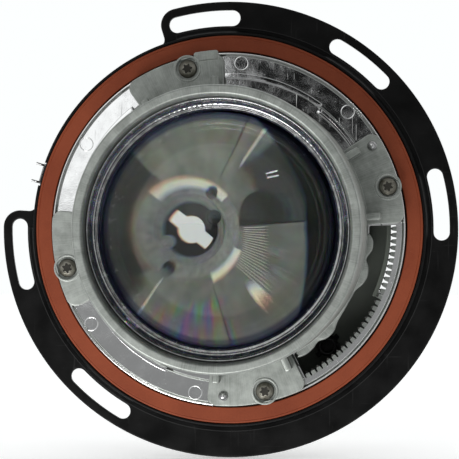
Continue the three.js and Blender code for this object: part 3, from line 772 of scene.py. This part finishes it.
def gasket():
    """A flat moulded ring with a fine line near its outer edge, where the mould closed."""
    inner, outer, front, back = GASKET["inner"], GASKET["outer"], GASKET["front"], GASKET["back"]
    line = outer - 0.75

    def uneven(radius, y, degrees):
        turn = math.radians(degrees)
        return radius + 0.05 * math.sin(turn * 9 + 1), y + 0.03 * math.sin(turn * 7)

    ring = lathe("gasket", rounded([
        (inner, front), (line - 0.12, front), (line, front + 0.16), (line + 0.12, front),
        (outer, front + 0.12), (outer, back), (inner, back)], 0.28), 300, wave=uneven)
    return ready(ring, SILICONE)


# ---------------- reflector

def bowl_radius(y):
    return BOWL_WIDTH * math.sqrt(1 - ((y - BOWL_CENTRE) / BOWL_LENGTH) ** 2)


def bowl_side(offset, start, end, steps):
    return [(bowl_radius(start + (end - start) * i / steps) + offset, start + (end - start) * i / steps)
            for i in range(steps + 1)]


def ejector_mark(circle_radius, degrees):
    """The fine raised ring that an ejector pin leaves."""
    mark = tube("mark", 1.95, 2.25, -0.09, 0.1, 0.08, 48, steps=2)
    return place(mark, circle_radius, degrees, MIRROR_FRONT)


def window_teeth():
    """The row of small wedges along the outer edge of the position lamp's window."""
    pitch, inner, outer, floor = 2.2, 51.4, 53.9, -2.8
    tip = (inner, 0, -3.6)
    half = span_of(0.86, inner)
    sides = ((outer, half, MIRROR_FRONT + 0.1), (inner + 0.7, half * 0.7, MIRROR_FRONT + 0.9))
    points = [tip, (inner, 0, floor)]
    for radius, turn, y in sides:
        points += [(radius, way * turn, level) for way in (-1, 1) for level in (y, floor)]
    teeth = []
    angle = WINDOW["start"] + 1.2
    while angle < WINDOW["end"] - 0.8:
        bm = bmesh.new()
        corners = []
        for radius, turn, y in points:
            x, z = polar(radius, angle + turn)
            corners.append(bm.verts.new((x * MM, y * MM, z * MM)))
        bmesh.ops.convex_hull(bm, input=corners)
        teeth.append(to_object("tooth", bm, 25))
        angle += pitch
    return teeth


def ridge(degrees, start, end, width, height, material, steps=14):
    """A thin ridge with a sharp crest that runs down the inside of the bowl from one y to another."""
    half = span_of(width / 2, bowl_radius((start + end) / 2))

    def crest(radius, y, at):
        if radius < bowl_radius(y):
            radius += height * abs(at - degrees) / half
        return radius, y

    outline = bowl_side(-height, start, end, steps) + bowl_side(0.3, end, start, steps)
    return paint(lathe("ridge", outline, 2, degrees - half, degrees + half, wave=crest), material)


def neck_bead(inner, outer, front, back, start, end):
    # The bead's bright cream colour is a painted reflection.
    return paint(tube("bead", inner, outer, front, back, 0.3, 90, start, end), PAINTED_REFLECTION)


def knob(degrees, y, size, material):
    """A small round boss that stands on the inside of the bowl."""
    outline = rounded([(0, -size), (size * 0.5, -size), (size * 0.55, -size * 0.6), (size, -size),
                       (size, 0.2), (0, 0.2)], 0.15)
    return paint(place(lathe("knob", outline, 32), bowl_radius(y) - 0.2, degrees, y), material)


def bowl_ridges():
    """What stands up inside the bowl: the joints between its fields, the comb of fine flutes beside the
    neck, small bosses and the beads round the neck. The beads, the comb, two of the joints and one boss
    are in a bright cream colour that is a painted reflection."""
    pieces = [ridge(231, 50.5, 42, 0.8, 0.4, PAINTED_REFLECTION), ridge(240, 57, 44, 0.35, 0.2, DARK_STEEL),
              ridge(59, 57.2, 46, 0.7, 0.4, PAINTED_REFLECTION), ridge(112, 56, 46, 0.35, 0.2, DARK_STEEL),
              ridge(184, 58.4, 44, 0.5, 0.5, DARK_STEEL)]
    flutes, flute_pitch = 20, 2.1
    for i in range(flutes):
        end = 51.5 - 0.012 * i * i
        pieces.append(ridge(182 - flute_pitch * i, 57.4 - 0.05 * i, end, 0.34, 0.3, PAINTED_REFLECTION, 8))
    pieces.append(neck_bead(17.8, 21.2, NECK_Y - 1.4, NECK_Y + 0.1, 222, 318))
    pieces.append(neck_bead(20.2, 23.0, NECK_Y - 1.9, NECK_Y + 0.1, 114, 158))
    # This boss's bright colour is a painted glint.
    pieces.append(knob(138, 49.0, 2.1, PAINTED_REFLECTION))
    for degrees, y, size in ((166, 48.8, 1.7), (156, 46.8, 1.3), (150, 48.4, 1.0)):
        pieces.append(knob(degrees, y, size, COLLAR_METAL))
    return pieces


def reflector():
    wall, mouth = 2.4, -1
    bead_front = MIRROR_FRONT - BEAD
    shell = lathe("shell", rounded([
        (bowl_radius(mouth), mouth), (bowl_radius(mouth) + 0.3, RECESS_FLOOR), (RECESS_RADIUS, RECESS_FLOOR),
        (RECESS_RADIUS, MIRROR_FRONT), (MIRROR_RIM - 1.0, MIRROR_FRONT), (MIRROR_RIM - 0.6, bead_front),
        (MIRROR_RIM, bead_front), (MIRROR_RIM, -2.5), (RECESS_RADIUS + 1.5, -2.5),
        (RECESS_RADIUS - 1, 0.5)], 0.3)
        + bowl_side(wall, 0.9, NECK_Y - 3, 24)
        + rounded([(NECK_RADIUS + 4, NECK_Y + 2.2), (BULB_HOLE, NECK_Y + 2.2), (BULB_HOLE, NECK_Y)], 0.3)
        + [(BULB_HOLE + 0.9, NECK_Y - 0.02), (BULB_HOLE + 1.2, NECK_Y + 0.25),
           (NECK_RADIUS - 1.8, NECK_Y + 0.25), (NECK_RADIUS - 1.5, NECK_Y - 0.1)]
        + bowl_side(0, NECK_Y, -0.6, 64), 300)
    window = sector(WINDOW["inner"], WINDOW["outer"], WINDOW["start"], WINDOW["end"], 0.6, 0.6)
    shell = carve(shell, [plate("opening", [window], MIRROR_FRONT - 3, 20, 0.01, 0)])
    paint(shell, CHROME, BOWL, COLLAR_METAL, BARE_MOULDING)
    on_bowl, on_neck, outside = 1, 2, 3
    for face in shell.data.polygons:
        x, y, z = face.center / MM
        if y > mouth and math.hypot(x, z) < bowl_radius(min(y, NECK_Y)) + 0.6:
            face.material_index = on_neck if y > NECK_Y - 0.3 else on_bowl
        elif y > mouth and math.hypot(x, z) < RECESS_RADIUS + 1:
            face.material_index = outside
    extras = window_teeth()
    for degrees, radius in ((44.5, 53.2), (85.5, 53.0), (149, 53.0), (214.5, 53.2), (258.5, 53.0)):
        extras.append(ejector_mark(radius, degrees))
    for start, end, radius in ((33, 53, 46.9), (53, 91.5, 49.2), (128, 172, 49.2), (208, 246, 48.9)):
        inner = min(radius, RECESS_RADIUS) - 0.4
        bar = sector(inner, radius + 0.6, start, end, 0.2)
        extras.append(plate("bar", [bar], MIRROR_FRONT - 0.7, -2.2, 0.2))
    backs = []
    for angle in SCREW_SIDES.values():
        outline = rounded([(0, -2.8), (3.2, -2.8), (3.0, 7), (1.8, 7), (1.8, 3), (0, 3)], 0.3)
        backs.append(place(lathe("boss", outline, 40), SCREW_CIRCLE - 0.8, angle, 0))
    for i in range(6):
        backs.append(block("rib", (8.9, 16.6, 2), (42.95, 7.7, 0), 45 * i + 38, 0.4))
    for angle in CLIP_ANGLES.values():
        backs.append(block("clip_lug", (6, 6.3, 6), (51, 0.45, 0), angle, 0.3))
    for back in backs:
        paint(back, BARE_MOULDING)
    for angle in COLLAR_SCREW_ANGLES:
        extras.append(place(tube("boss", 0, 2.8, -1.4, 1, 0.4, 40), COLLAR_SCREW_CIRCLE, angle, NECK_Y))
    for extra in extras:
        paint(extra, CHROME)
    extras += backs + bowl_ridges()
    return ready(merge("reflector", [shell] + extras))


# ---------------- lens and its holder

def sag(radius):
    """The dome is a paraboloid."""
    return radius * radius / (2 * VERTEX_RADIUS)


def lens():
    steps = 70
    dome = [(LENS_CLEAR * i / steps, APEX + sag(LENS_CLEAR * i / steps)) for i in range(steps + 1)]
    chamfer = 0.35
    edge = [(LENS_RADIUS - chamfer, LENS_EDGE), (LENS_RADIUS, LENS_EDGE + chamfer),
            (LENS_RADIUS, LENS_FLAT - chamfer), (LENS_RADIUS - chamfer, LENS_FLAT), (0, LENS_FLAT)]
    return ready(lathe("lens", dome + edge, 300), GLASS)


def retaining_ring():
    """A stepped ring that is knurled round its slope."""
    back = LENS_EDGE - 0.3
    inner, outer = LENS_CLEAR + 0.7, BARREL["bore"] - 0.3

    def knurl(radius, y, degrees):
        on_slope = 37.3 < radius < 38.4
        return radius, y + (0.03 * math.sin(math.radians(degrees) * 150) if on_slope else 0)

    ring = lathe("lens_retaining_ring", rounded([
        (inner, back), (inner, back - 0.8), (inner + 0.5, back - 1.3), (inner + 1.1, back - 1.3),
        (inner + 1.3, back - 2.0), (inner + 1.8, back - 2.2), (inner + 2.3, back - 2.9),
        (inner + 2.5, back - 3.9), (outer - 0.7, back - 4.1), (outer - 0.4, back - 4.6), (outer, back - 4.6),
        (outer, back)], 0.14),
        900, wave=knurl)
    return ready(ring, RING_METAL)


def lug(start, end, screw_angle):
    """One foot of the holder: a plate with round corners, a pocket round its screw and two raised ribs."""
    outline = sector(BARREL["base"] - 1.8, LUG_OUTER, start, end, 3)
    x, z = polar(SCREW_CIRCLE, screw_angle)
    parts = [plate("lug", [outline], LUG_FRONT + 1, LUG_BACK, 0.3),
             plate("lug", [outline, circle(3.7, (x, z))], LUG_FRONT, LUG_FRONT + 1.3, 0.3)]
    parts.append(move(tube("rim", 3.6, 4.3, -0.35, 0.2, 0.2, 48), x, LUG_FRONT, z))
    rib_middle = (LUG_FRONT - 5.7 + LUG_BACK - 0.5) / 2
    for edge in (start + 3, end - 3):
        parts.append(block("rib", (6.4, 8.7, 2.4), (45.4, rib_middle, 0), edge, 0.7))
    return parts


def lens_holder():
    """The barrel with its four lugs, a foot beside the window and a tab at the top."""
    seat_y = LENS_FLAT + 0.3
    wall = BARREL["wall"]

    def uneven(radius, y, degrees):
        outside = radius > 42
        return radius + 0.05 * math.sin(math.radians(degrees) * 11) * outside, y

    tube = lathe("tube", rounded([
        (BARREL["base"] - wall, BARREL_BACK), (BARREL["seat"] + 1, seat_y + 3),
        (BARREL["seat"], seat_y + 1.5), (BARREL["seat"], seat_y), (LENS_RADIUS + 0.5, seat_y),
        (LENS_RADIUS + 0.5, LENS_EDGE + 0.8),
        (BARREL["bore"], LENS_EDGE + 0.1), (BARREL["bore"], MOUTH + 0.9), (BARREL["bore"] + 0.5, MOUTH + 0.3),
        (BARREL["bore"] + 0.9, MOUTH), (BARREL["mouth"] - 0.4, MOUTH), (BARREL["mouth"], MOUTH + 0.9),
        (BARREL["base"], BARREL_BACK)], 0.5), 300, wave=uneven)
    parts = [tube]
    for (start, end), angle in zip(LUGS, SCREW_SIDES.values()):
        parts += lug(start, end, angle)
    # The uneven foot of the barrel along the position lamp's window.
    foot = [(-1, 44.6), (-4, 46.2), (-8, 46.4), (-12, 44.6), (-15, 46.2), (-19, 46.8), (-22, 46.2),
            (-26, 44.6), (-33, 44.8), (-40, 45.4), (-44, 46.8), (-48, 46.6), (-51, 45.4), (-54, 46.4),
            (-58, 46.8), (-62, 46.2)]
    outline = rounded([polar(radius, angle) for angle, radius in foot], 1.2, 4)
    parts.append(plate("foot", [outline + arc(42, -62, -1, 4)], -9.6, MIRROR_FRONT - 1.0, 0.5, 3))
    parts.append(plate("tab", [sector(54, 57, 93, 101, 0.8)], -9.6, LUG_FRONT + 1, 0.3))
    return ready(merge("lens_holder", parts), CASTING)


# ---------------- fasteners

def driver_outline(radius):
    """A six-lobed driver recess."""
    return [polar(radius * (1 + 0.2 * cosine(6 * turn)), turn) for turn in range(0, 360, 6)]


def pan_screw(name, sizes, length, material, pitch=0.7):
    """Pan-head screw along Y, its head towards -Y from y = 0, with a thread down its shank."""
    head, height, shank = sizes["head"], sizes["height"], sizes["shank"]
    thread = []
    turns = int((length - 0.6) / pitch)
    for i in range(turns):
        y = length - 0.5 - i * pitch
        thread += [(shank - 0.22, y), (shank, y - pitch * 0.5)]
    dome = rounded([(head * 0.55, -height), (head * 0.93, -height * 0.62), (head, -height * 0.18), (head, 0),
                    (shank - 0.2, 0)], 0.3, 4)
    body = lathe(name, [(0, -height)] + dome + thread[::-1] + [(shank - 0.5, length), (0, length)], 64)
    # A dark plate in the outline of the driver recess: painted shade of the recess, with grime in it.
    grime = plate("grime", [driver_outline(head * 0.46)], -height - 0.03, -height * 0.3, 0.01, 0)
    return merge(name, [paint(body, material), paint(grime, GRIME_AND_SHADE)])


def front_screw(node, sizes, material, pitch=0.7, turn=0.0):
    """A screw whose head faces the front."""
    seat = low(node, "y") + sizes["height"]
    screw = spin(pan_screw(node, sizes, high(node, "y") - seat, material, pitch), turn)
    ready(place_at(screw, node, seat))


def back_screw(node, sizes):
    """A screw whose head faces the back."""
    seat = high(node, "y") - sizes["height"]
    screw = pan_screw(node, sizes, seat - low(node, "y"), DARK_STEEL)
    screw.data.transform(Matrix.Rotation(math.pi, 4, "X"))
    ready(place_at(screw, node, seat))


def screws():
    for side, angle in SCREW_SIDES.items():
        front_screw(f"lens_holder_screw_{side}", PAN_HEAD, SCREW_STEEL, turn=angle * 3)
    for i in (1, 2):
        front_screw(f"shield_screw_{i}", SMALL_HEAD, STEEL, 0.5)
        back_screw(f"bulb_collar_screw_{i}", PAN_HEAD)
        back_screw(f"lamp_chamber_screw_{i}", SMALL_HEAD)


def locating_pins():
    for side in ("right", "bottom"):
        node = f"locating_pin_{side}"
        top, bottom, radius = low(node, "y"), high(node, "y"), 1.6
        dome = [(radius * sine(a), top + 1.5 * (1 - cosine(a)))
                for a in range(0, 91, 9)]
        pin = lathe(node, dome + [(radius, bottom - 0.3), (radius - 0.3, bottom), (0, bottom)], 48)
        ready(place_at(pin, node, 0), BRIGHT_METAL)


def retaining_clips():
    """Spring clips bent from strip; the left one has two prongs that reach over the flange."""
    strip, width, gap = 0.7, 6.6, 0.3
    outer = HUB_OUTER + gap
    back = SKIRT_BACK + gap
    for side, angle in CLIP_ANGLES.items():
        node = f"retaining_clip_{side}"
        path = [(outer, 3), (outer + strip, 3), (outer + strip, back + strip), (54.6, back + strip),
                (54.6, 4 + strip), (52.2, 4 + strip), (52.2, 4), (54.6 + strip, 4), (54.6 + strip, back),
                (outer, back)]
        bent = rounded(path, 0.55)
        bm = bmesh.new()
        near, far = [[bm.verts.new((r * MM, y * MM, t * width / 2 * MM)) for r, y in bent] for t in (-1, 1)]
        bm.faces.new(near)
        bm.faces.new(far)
        for i in range(len(bent)):
            j = (i + 1) % len(bent)
            bm.faces.new((near[i], near[j], far[j], far[i]))
        parts = [spin(to_object(node, bm), angle)]
        if side == "left":
            for way in (-1, 1):
                z = way * 2.85
                corners = [(outer + 0.35, 3.4, z), (outer + 0.35, -1.25, z), (65.6, -1.25, z)]
                parts.append(spin(wire("prong", corners, 0.36, 0.8), angle))
        ready(merge(node, parts), STEEL)


# ---------------- cut-off shield

def cutoff_shield():
    sheet, inner, outer, plate_front, tip = 0.9, 33.0, 41.2, -19.0, 27.0
    edge, step = -5.0, 1.2
    foot_back = RECESS_FLOOR - 0.3
    foot_front = foot_back - sheet
    holes = [circle(1.2, polar(39.2, angle)) for angle in (0, 180)]
    foot = plate("foot", [circle(outer, step=2), circle(inner, step=2)] + holes, foot_front, foot_back, 0.2)
    cone_start = 180 + span_of(-foot_front, inner)
    cone_back = foot_front + 0.3
    cone = lathe("cone", rounded([(tip, plate_front), (tip + sheet, plate_front), (inner + sheet, cone_back),
                                  (inner, cone_back)], 0.2), 150, cone_start, 540 - cone_start)
    outline = (arc(tip + 0.5, 180 + span_of(-edge, tip), 360 - span_of(step - edge, tip))
               + [(step, edge - step), (-step, edge)])
    blade = plate("blade", [outline], plate_front, plate_front + sheet, 0.15)
    shield = merge("cutoff_shield", [foot, cone, blade])
    return ready(spin(shield, SHIELD_TURN), DARK_STEEL)


# ---------------- bulb collar and its bail

def bulb_collar():
    """The disc that holds the bulb: its hole, two round bosses at the front, the rim for the rear cap, the
    ears that the bail turns in and the hook that holds it shut."""
    radius, rim_width, hole, notch = 28.0, 2.0, 6.4, 142.0
    notch_reach, socket_radius = 11, 12.8
    arm = span_of(3.2, notch_reach)
    opening = []
    for turn in (notch, notch + 180):
        opening += arc(notch_reach, turn - arm, turn + arm, 4) + arc(hole, turn + 32, turn + 148, 6)
    holes = [circle(1.8, polar(COLLAR_SCREW_CIRCLE, angle)) for angle in COLLAR_SCREW_ANGLES]
    disc = plate("disc", [circle(radius - 0.5, step=3), circle(socket_radius - 0.4, step=4)] + holes,
                 COLLAR_FACE, COLLAR_BACK, 0.3)
    socket = plate("socket", [circle(socket_radius, step=4), opening], COLLAR_FACE + 1.2, COLLAR_BACK, 0.3)
    rim = tube("rim", radius - rim_width, radius, COLLAR_FACE, COLLAR_RIM, 0.5, 200)
    front, middle, back = COLLAR_FACE - 1.6, COLLAR_FACE - 0.8, COLLAR_FACE + 1
    steps = lathe("steps", rounded([(12.3, back), (12.3, front), (13.0, front), (13.3, middle),
                                    (14.0, middle), (14.2, back)], 0.2), 160)
    parts = [paint(part, COLLAR_METAL) for part in (disc, rim, steps)]
    parts.append(paint(socket, BLACK_PLASTIC))
    for turn, material in ((0, COLLAR_METAL), (180, DARK_STEEL)):
        boss = lathe("boss", rounded([(0, 1.5), (0.9, 1.5), (0.9, 0), (1.6, 0.3), (2.2, 0), (3.1, 0),
                                      (3.1, 4.4), (0, 4.4)], 0.3), 48)
        parts.append(paint(place(boss, 11.6, 28 + turn, NECK_Y - 1), material))

    lift = BAIL["lift"]
    upright = Matrix(((0, 1, 0), (0, 0, 1), (1, 0, 0))).to_4x4()
    for side in (-1, 1):
        outline = [(-2.5, -0.5), (2.5, -0.5)] + arc(2.5, 0, 180, 12, (0, lift))
        ear = plate("ear", [outline, circle(1.1, (0, lift))], -1, 1, 0.2)
        ear.data.transform(upright)
        parts.append(paint(move(ear, side * (BAIL["half"] + 2.4), COLLAR_BACK, BAIL["hinge"]), DARK_STEEL))
    hook_middle = (0, COLLAR_BACK + (lift + 3) / 2 - 0.5, BAIL["hinge"] - BAIL["reach"] - 2.2)
    parts.append(paint(block("hook", (7, lift + 3, 1.8), hook_middle, 0, 0.4), DARK_STEEL))
    return ready(merge("bulb_collar", parts))


def bulb_bail():
    """The wire spring, in its shut position across the bulb's base."""
    half, end, hinge = BAIL["half"], BAIL["end"], BAIL["hinge"]
    bottom = hinge - BAIL["reach"]
    y = COLLAR_BACK + BAIL["lift"]
    corners = [(-end, hinge), (-half, hinge), (-half, bottom + 9), (-4.5, bottom), (4.5, bottom),
               (half, bottom + 9), (half, hinge), (end, hinge)]
    bail = wire("bulb_bail", [(x, y, z) for x, z in corners], 0.8, 1.8)
    return ready(bail, STEEL, body="bail")


# ---------------- position lamp

def chamber_outline(inset):
    """The chamber's outline, or its hollow when the outline is moved inwards by the wall."""
    turn = span_of(inset, CHAMBER["inner"])
    start, end, step = CHAMBER["start"] + turn, CHAMBER["end"] - turn, CHAMBER["narrow_start"] - turn
    return (arc(CHAMBER["outer"] - inset, start, step) + arc(CHAMBER["narrow"] - inset, step, end)
            + arc(CHAMBER["inner"] + inset, end, start))


def lamp_chamber():
    """The pocket behind the window, with the keyway that the lamp holder twists into and two screwed ears."""
    wall, front, back = 1.4, 1.4, high("lamp_chamber", "y")
    lamp_at = centre("position_lamp_holder")
    outline, hollow = chamber_outline(0), chamber_outline(wall)
    keyway = []
    for turn in range(0, 360, 6):
        in_lug_slot = min((turn - 45) % 180, (45 - turn) % 180) < 14
        x, z = polar(4.7 if in_lug_slot else 3.4, turn)
        keyway.append((lamp_at[0] + x, lamp_at[1] + z))
    walls = plate("walls", [outline, hollow], front, back - wall + 0.3, 0.2)
    floor = plate("floor", [outline, keyway], back - wall, back, 0.3)
    parts = [walls, floor]
    for angle, before, after in ((289.6, 2.6, 4.4), (369.4, 4.4, 2.6)):
        ear = sector(44.4, 48.7, angle - before, angle + after, 0.8)
        parts.append(plate("ear", [ear, circle(1.2, polar(46.5, angle))], front, front + 2, 0.2))
    return ready(merge("lamp_chamber", parts), GREY_PLASTIC)


def position_lamp():
    """The seal and the twist-in holder, which share the holder's axis."""
    back = high("lamp_chamber", "y")
    axis = "position_lamp_holder"
    seal = tube("position_lamp_seal", 4.9, 6.7, 0.1, 1.5, 0.5, 72, steps=4)
    ready(place_at(seal, axis, back), BLACK_RUBBER)

    def flutes(radius, y, degrees):
        if 3.6 < y < 10.8 and radius > 5:
            radius -= 0.55 * max(0, math.cos(math.radians(degrees) * 8))
        return radius, y

    body = lathe("body", rounded([
        (0, -3), (2, -3), (2, -8), (2.9, -8), (2.9, 1.7), (7, 1.7), (7, 3.4), (5.4, 3.4), (5.4, 5.6),
        (5.4, 8.6), (5.4, 11), (4.2, 11), (4.2, 16), (2.8, 16), (2.8, 10), (0, 10)], 0.35), 96, wave=flutes)
    parts = [body, block("lugs", (8.2, 1.4, 1.7), (0, -2.6, 0), 0, 0.2)]
    for way in (-1, 1):
        parts.append(block("contact", (0.5, 4.5, 1.6), (way * 1.2, 11.8, 0), 0, 0.1))
    holder = merge("position_lamp_holder", parts)
    return ready(place_at(holder, axis, back), BLACK_PLASTIC, body="lamp_socket")


mounting_ring()
gasket()
reflector()
lens()
retaining_ring()
lens_holder()
screws()
locating_pins()
retaining_clips()
cutoff_shield()
bulb_collar()
bulb_bail()
lamp_chamber()
position_lamp()


# ---------------- floor, light and camera

def pale_floor():
    size, level = 3.0, low("mounting_ring", "z") * MM - 0.0002
    bpy.ops.mesh.primitive_plane_add(size=size, location=(0, 0.5, level))
    floor = bpy.context.object
    floor.name = "floor"
    s = Shader("floor", Roughness=0.9, Emission_Color=grey(1.0), Emission_Strength=0.42)
    floor.data.materials.append(s.finish(s.mix(s.noise(60, 3), grey(0.93), grey(0.96))))
    floor.visible_shadow = False
    floor.visible_glossy = False


def studio():
    """A white room behind the lamp and a dim one in front of it, with a bright panel to the upper left and a
    dark one to the upper right of the camera."""
    world = bpy.data.worlds.new("studio")
    bpy.context.scene.world = world
    s = Nodes(world)
    background = s.tree.nodes["Background"]
    parts = s.node("ShaderNodeSeparateXYZ")
    s.plug(s.node("ShaderNodeTexCoord").outputs["Generated"], parts.inputs[0])
    x, y, z = parts.outputs

    def fade(value, start, end, first=0, last=1):
        return s.ramp(value, start, end, first, last, "SMOOTHSTEP")

    front = fade(y, -0.9, -0.99)
    # The panels' places, as the direction seen in the flat mirror of the reflector's flange.
    across = s.plus(x, 0.068)
    upper_left = s.times(fade(across, -0.012, -0.022), fade(z, -0.002, 0.006))
    upper_right = s.times(fade(across, -0.012, 0.002), fade(z, 0.01, 0.02))
    dim = fade(z, -0.6, 0.9, 0.22, 0.12)
    cone = s.times(fade(y, -0.85, -0.96), fade(z, -0.2, 0.25, 0.0, 0.30))
    ring = s.times(fade(y, -0.3, -0.7), fade(y, -0.985, -0.95, 0, 0.45))
    dim = s.plus(s.plus(dim, cone), ring)
    level = s.plus(dim, s.times(s.times(upper_left, front), 0.8))
    level = s.times(level, fade(s.times(upper_right, front), 0, 1, 1, 0.03))
    back = fade(y, -0.12, 0.22)
    s.plug(s.plus(s.times(level, fade(back, 0, 1, 1, 0)), back), background.inputs["Strength"])
    background.inputs["Color"].default_value = (0.98, 1.0, 1.0, 1)


def area_light(name, place, target, size, watts):
    data = bpy.data.lights.new(name, "AREA")
    data.shape = "RECTANGLE"
    data.size, data.size_y = size
    data.energy = watts
    light = link(bpy.data.objects.new(name, data))
    light.location = place
    light.rotation_euler = (Vector(target) - Vector(place)).to_track_quat("-Z", "Y").to_euler()
    light.visible_camera = False
    return light


def keep_off(light, *names):
    """Stops a light from shining on the named pieces, so that it leaves no second highlight on the glass."""
    spared = bpy.data.collections.new("spared")
    light.light_linking.receiver_collection = spared
    pieces = [o for o in bpy.data.objects if base_name(o) in names and o.type == "MESH"]
    for i, obj in enumerate(pieces):
        spared.objects.link(obj)
        spared.collection_objects[i].light_linking.link_state = "EXCLUDE"


def camera():
    """A long lens, a little to the right of the optical axis, framing the flange edge to edge."""
    distance, turn, view_width = 0.8, 3.9, 0.147
    data = bpy.data.cameras.new("camera")
    data.sensor_width = 36
    data.lens = data.sensor_width * distance / view_width
    obj = link(bpy.data.objects.new("camera", data))
    obj.location = (distance * sine(turn), -distance * cosine(turn), 0)
    obj.rotation_euler = (-obj.location).to_track_quat("-Z", "Y").to_euler()
    bpy.context.scene.camera = obj


pale_floor()
studio()
key = area_light("key", (-0.16, -0.42, -0.36), (0, 0, 0), (0.35, 0.25), 2.6)
keep_off(key, "lens")
area_light("fill", (-0.3, -0.7, 0.5), (0, 0, 0), (0.5, 0.5), 0.35)
# Two narrow strips side by side, seen as a double dash in the glass.
for step in (-1, 1):
    strip = area_light("strip", (0.385, -0.09, 0.41), (0, -0.06, 0), (0.085, 0.010), 0.04)
    strip.rotation_euler.rotate_axis("Z", math.radians(-25))
    strip.location += strip.rotation_euler.to_matrix() @ Vector((0, 0.017 * step, 0))
# A faint light that lifts the inside of the bowl. It is not physical, and reflections do not show it.
glow = area_light("glow", (0, -0.012, 0), (0, 1, 0), (0.03, 0.03), 0.046)
glow.visible_glossy = False
glow.visible_transmission = False
camera()
bpy.context.scene.view_settings.view_transform = "Standard"
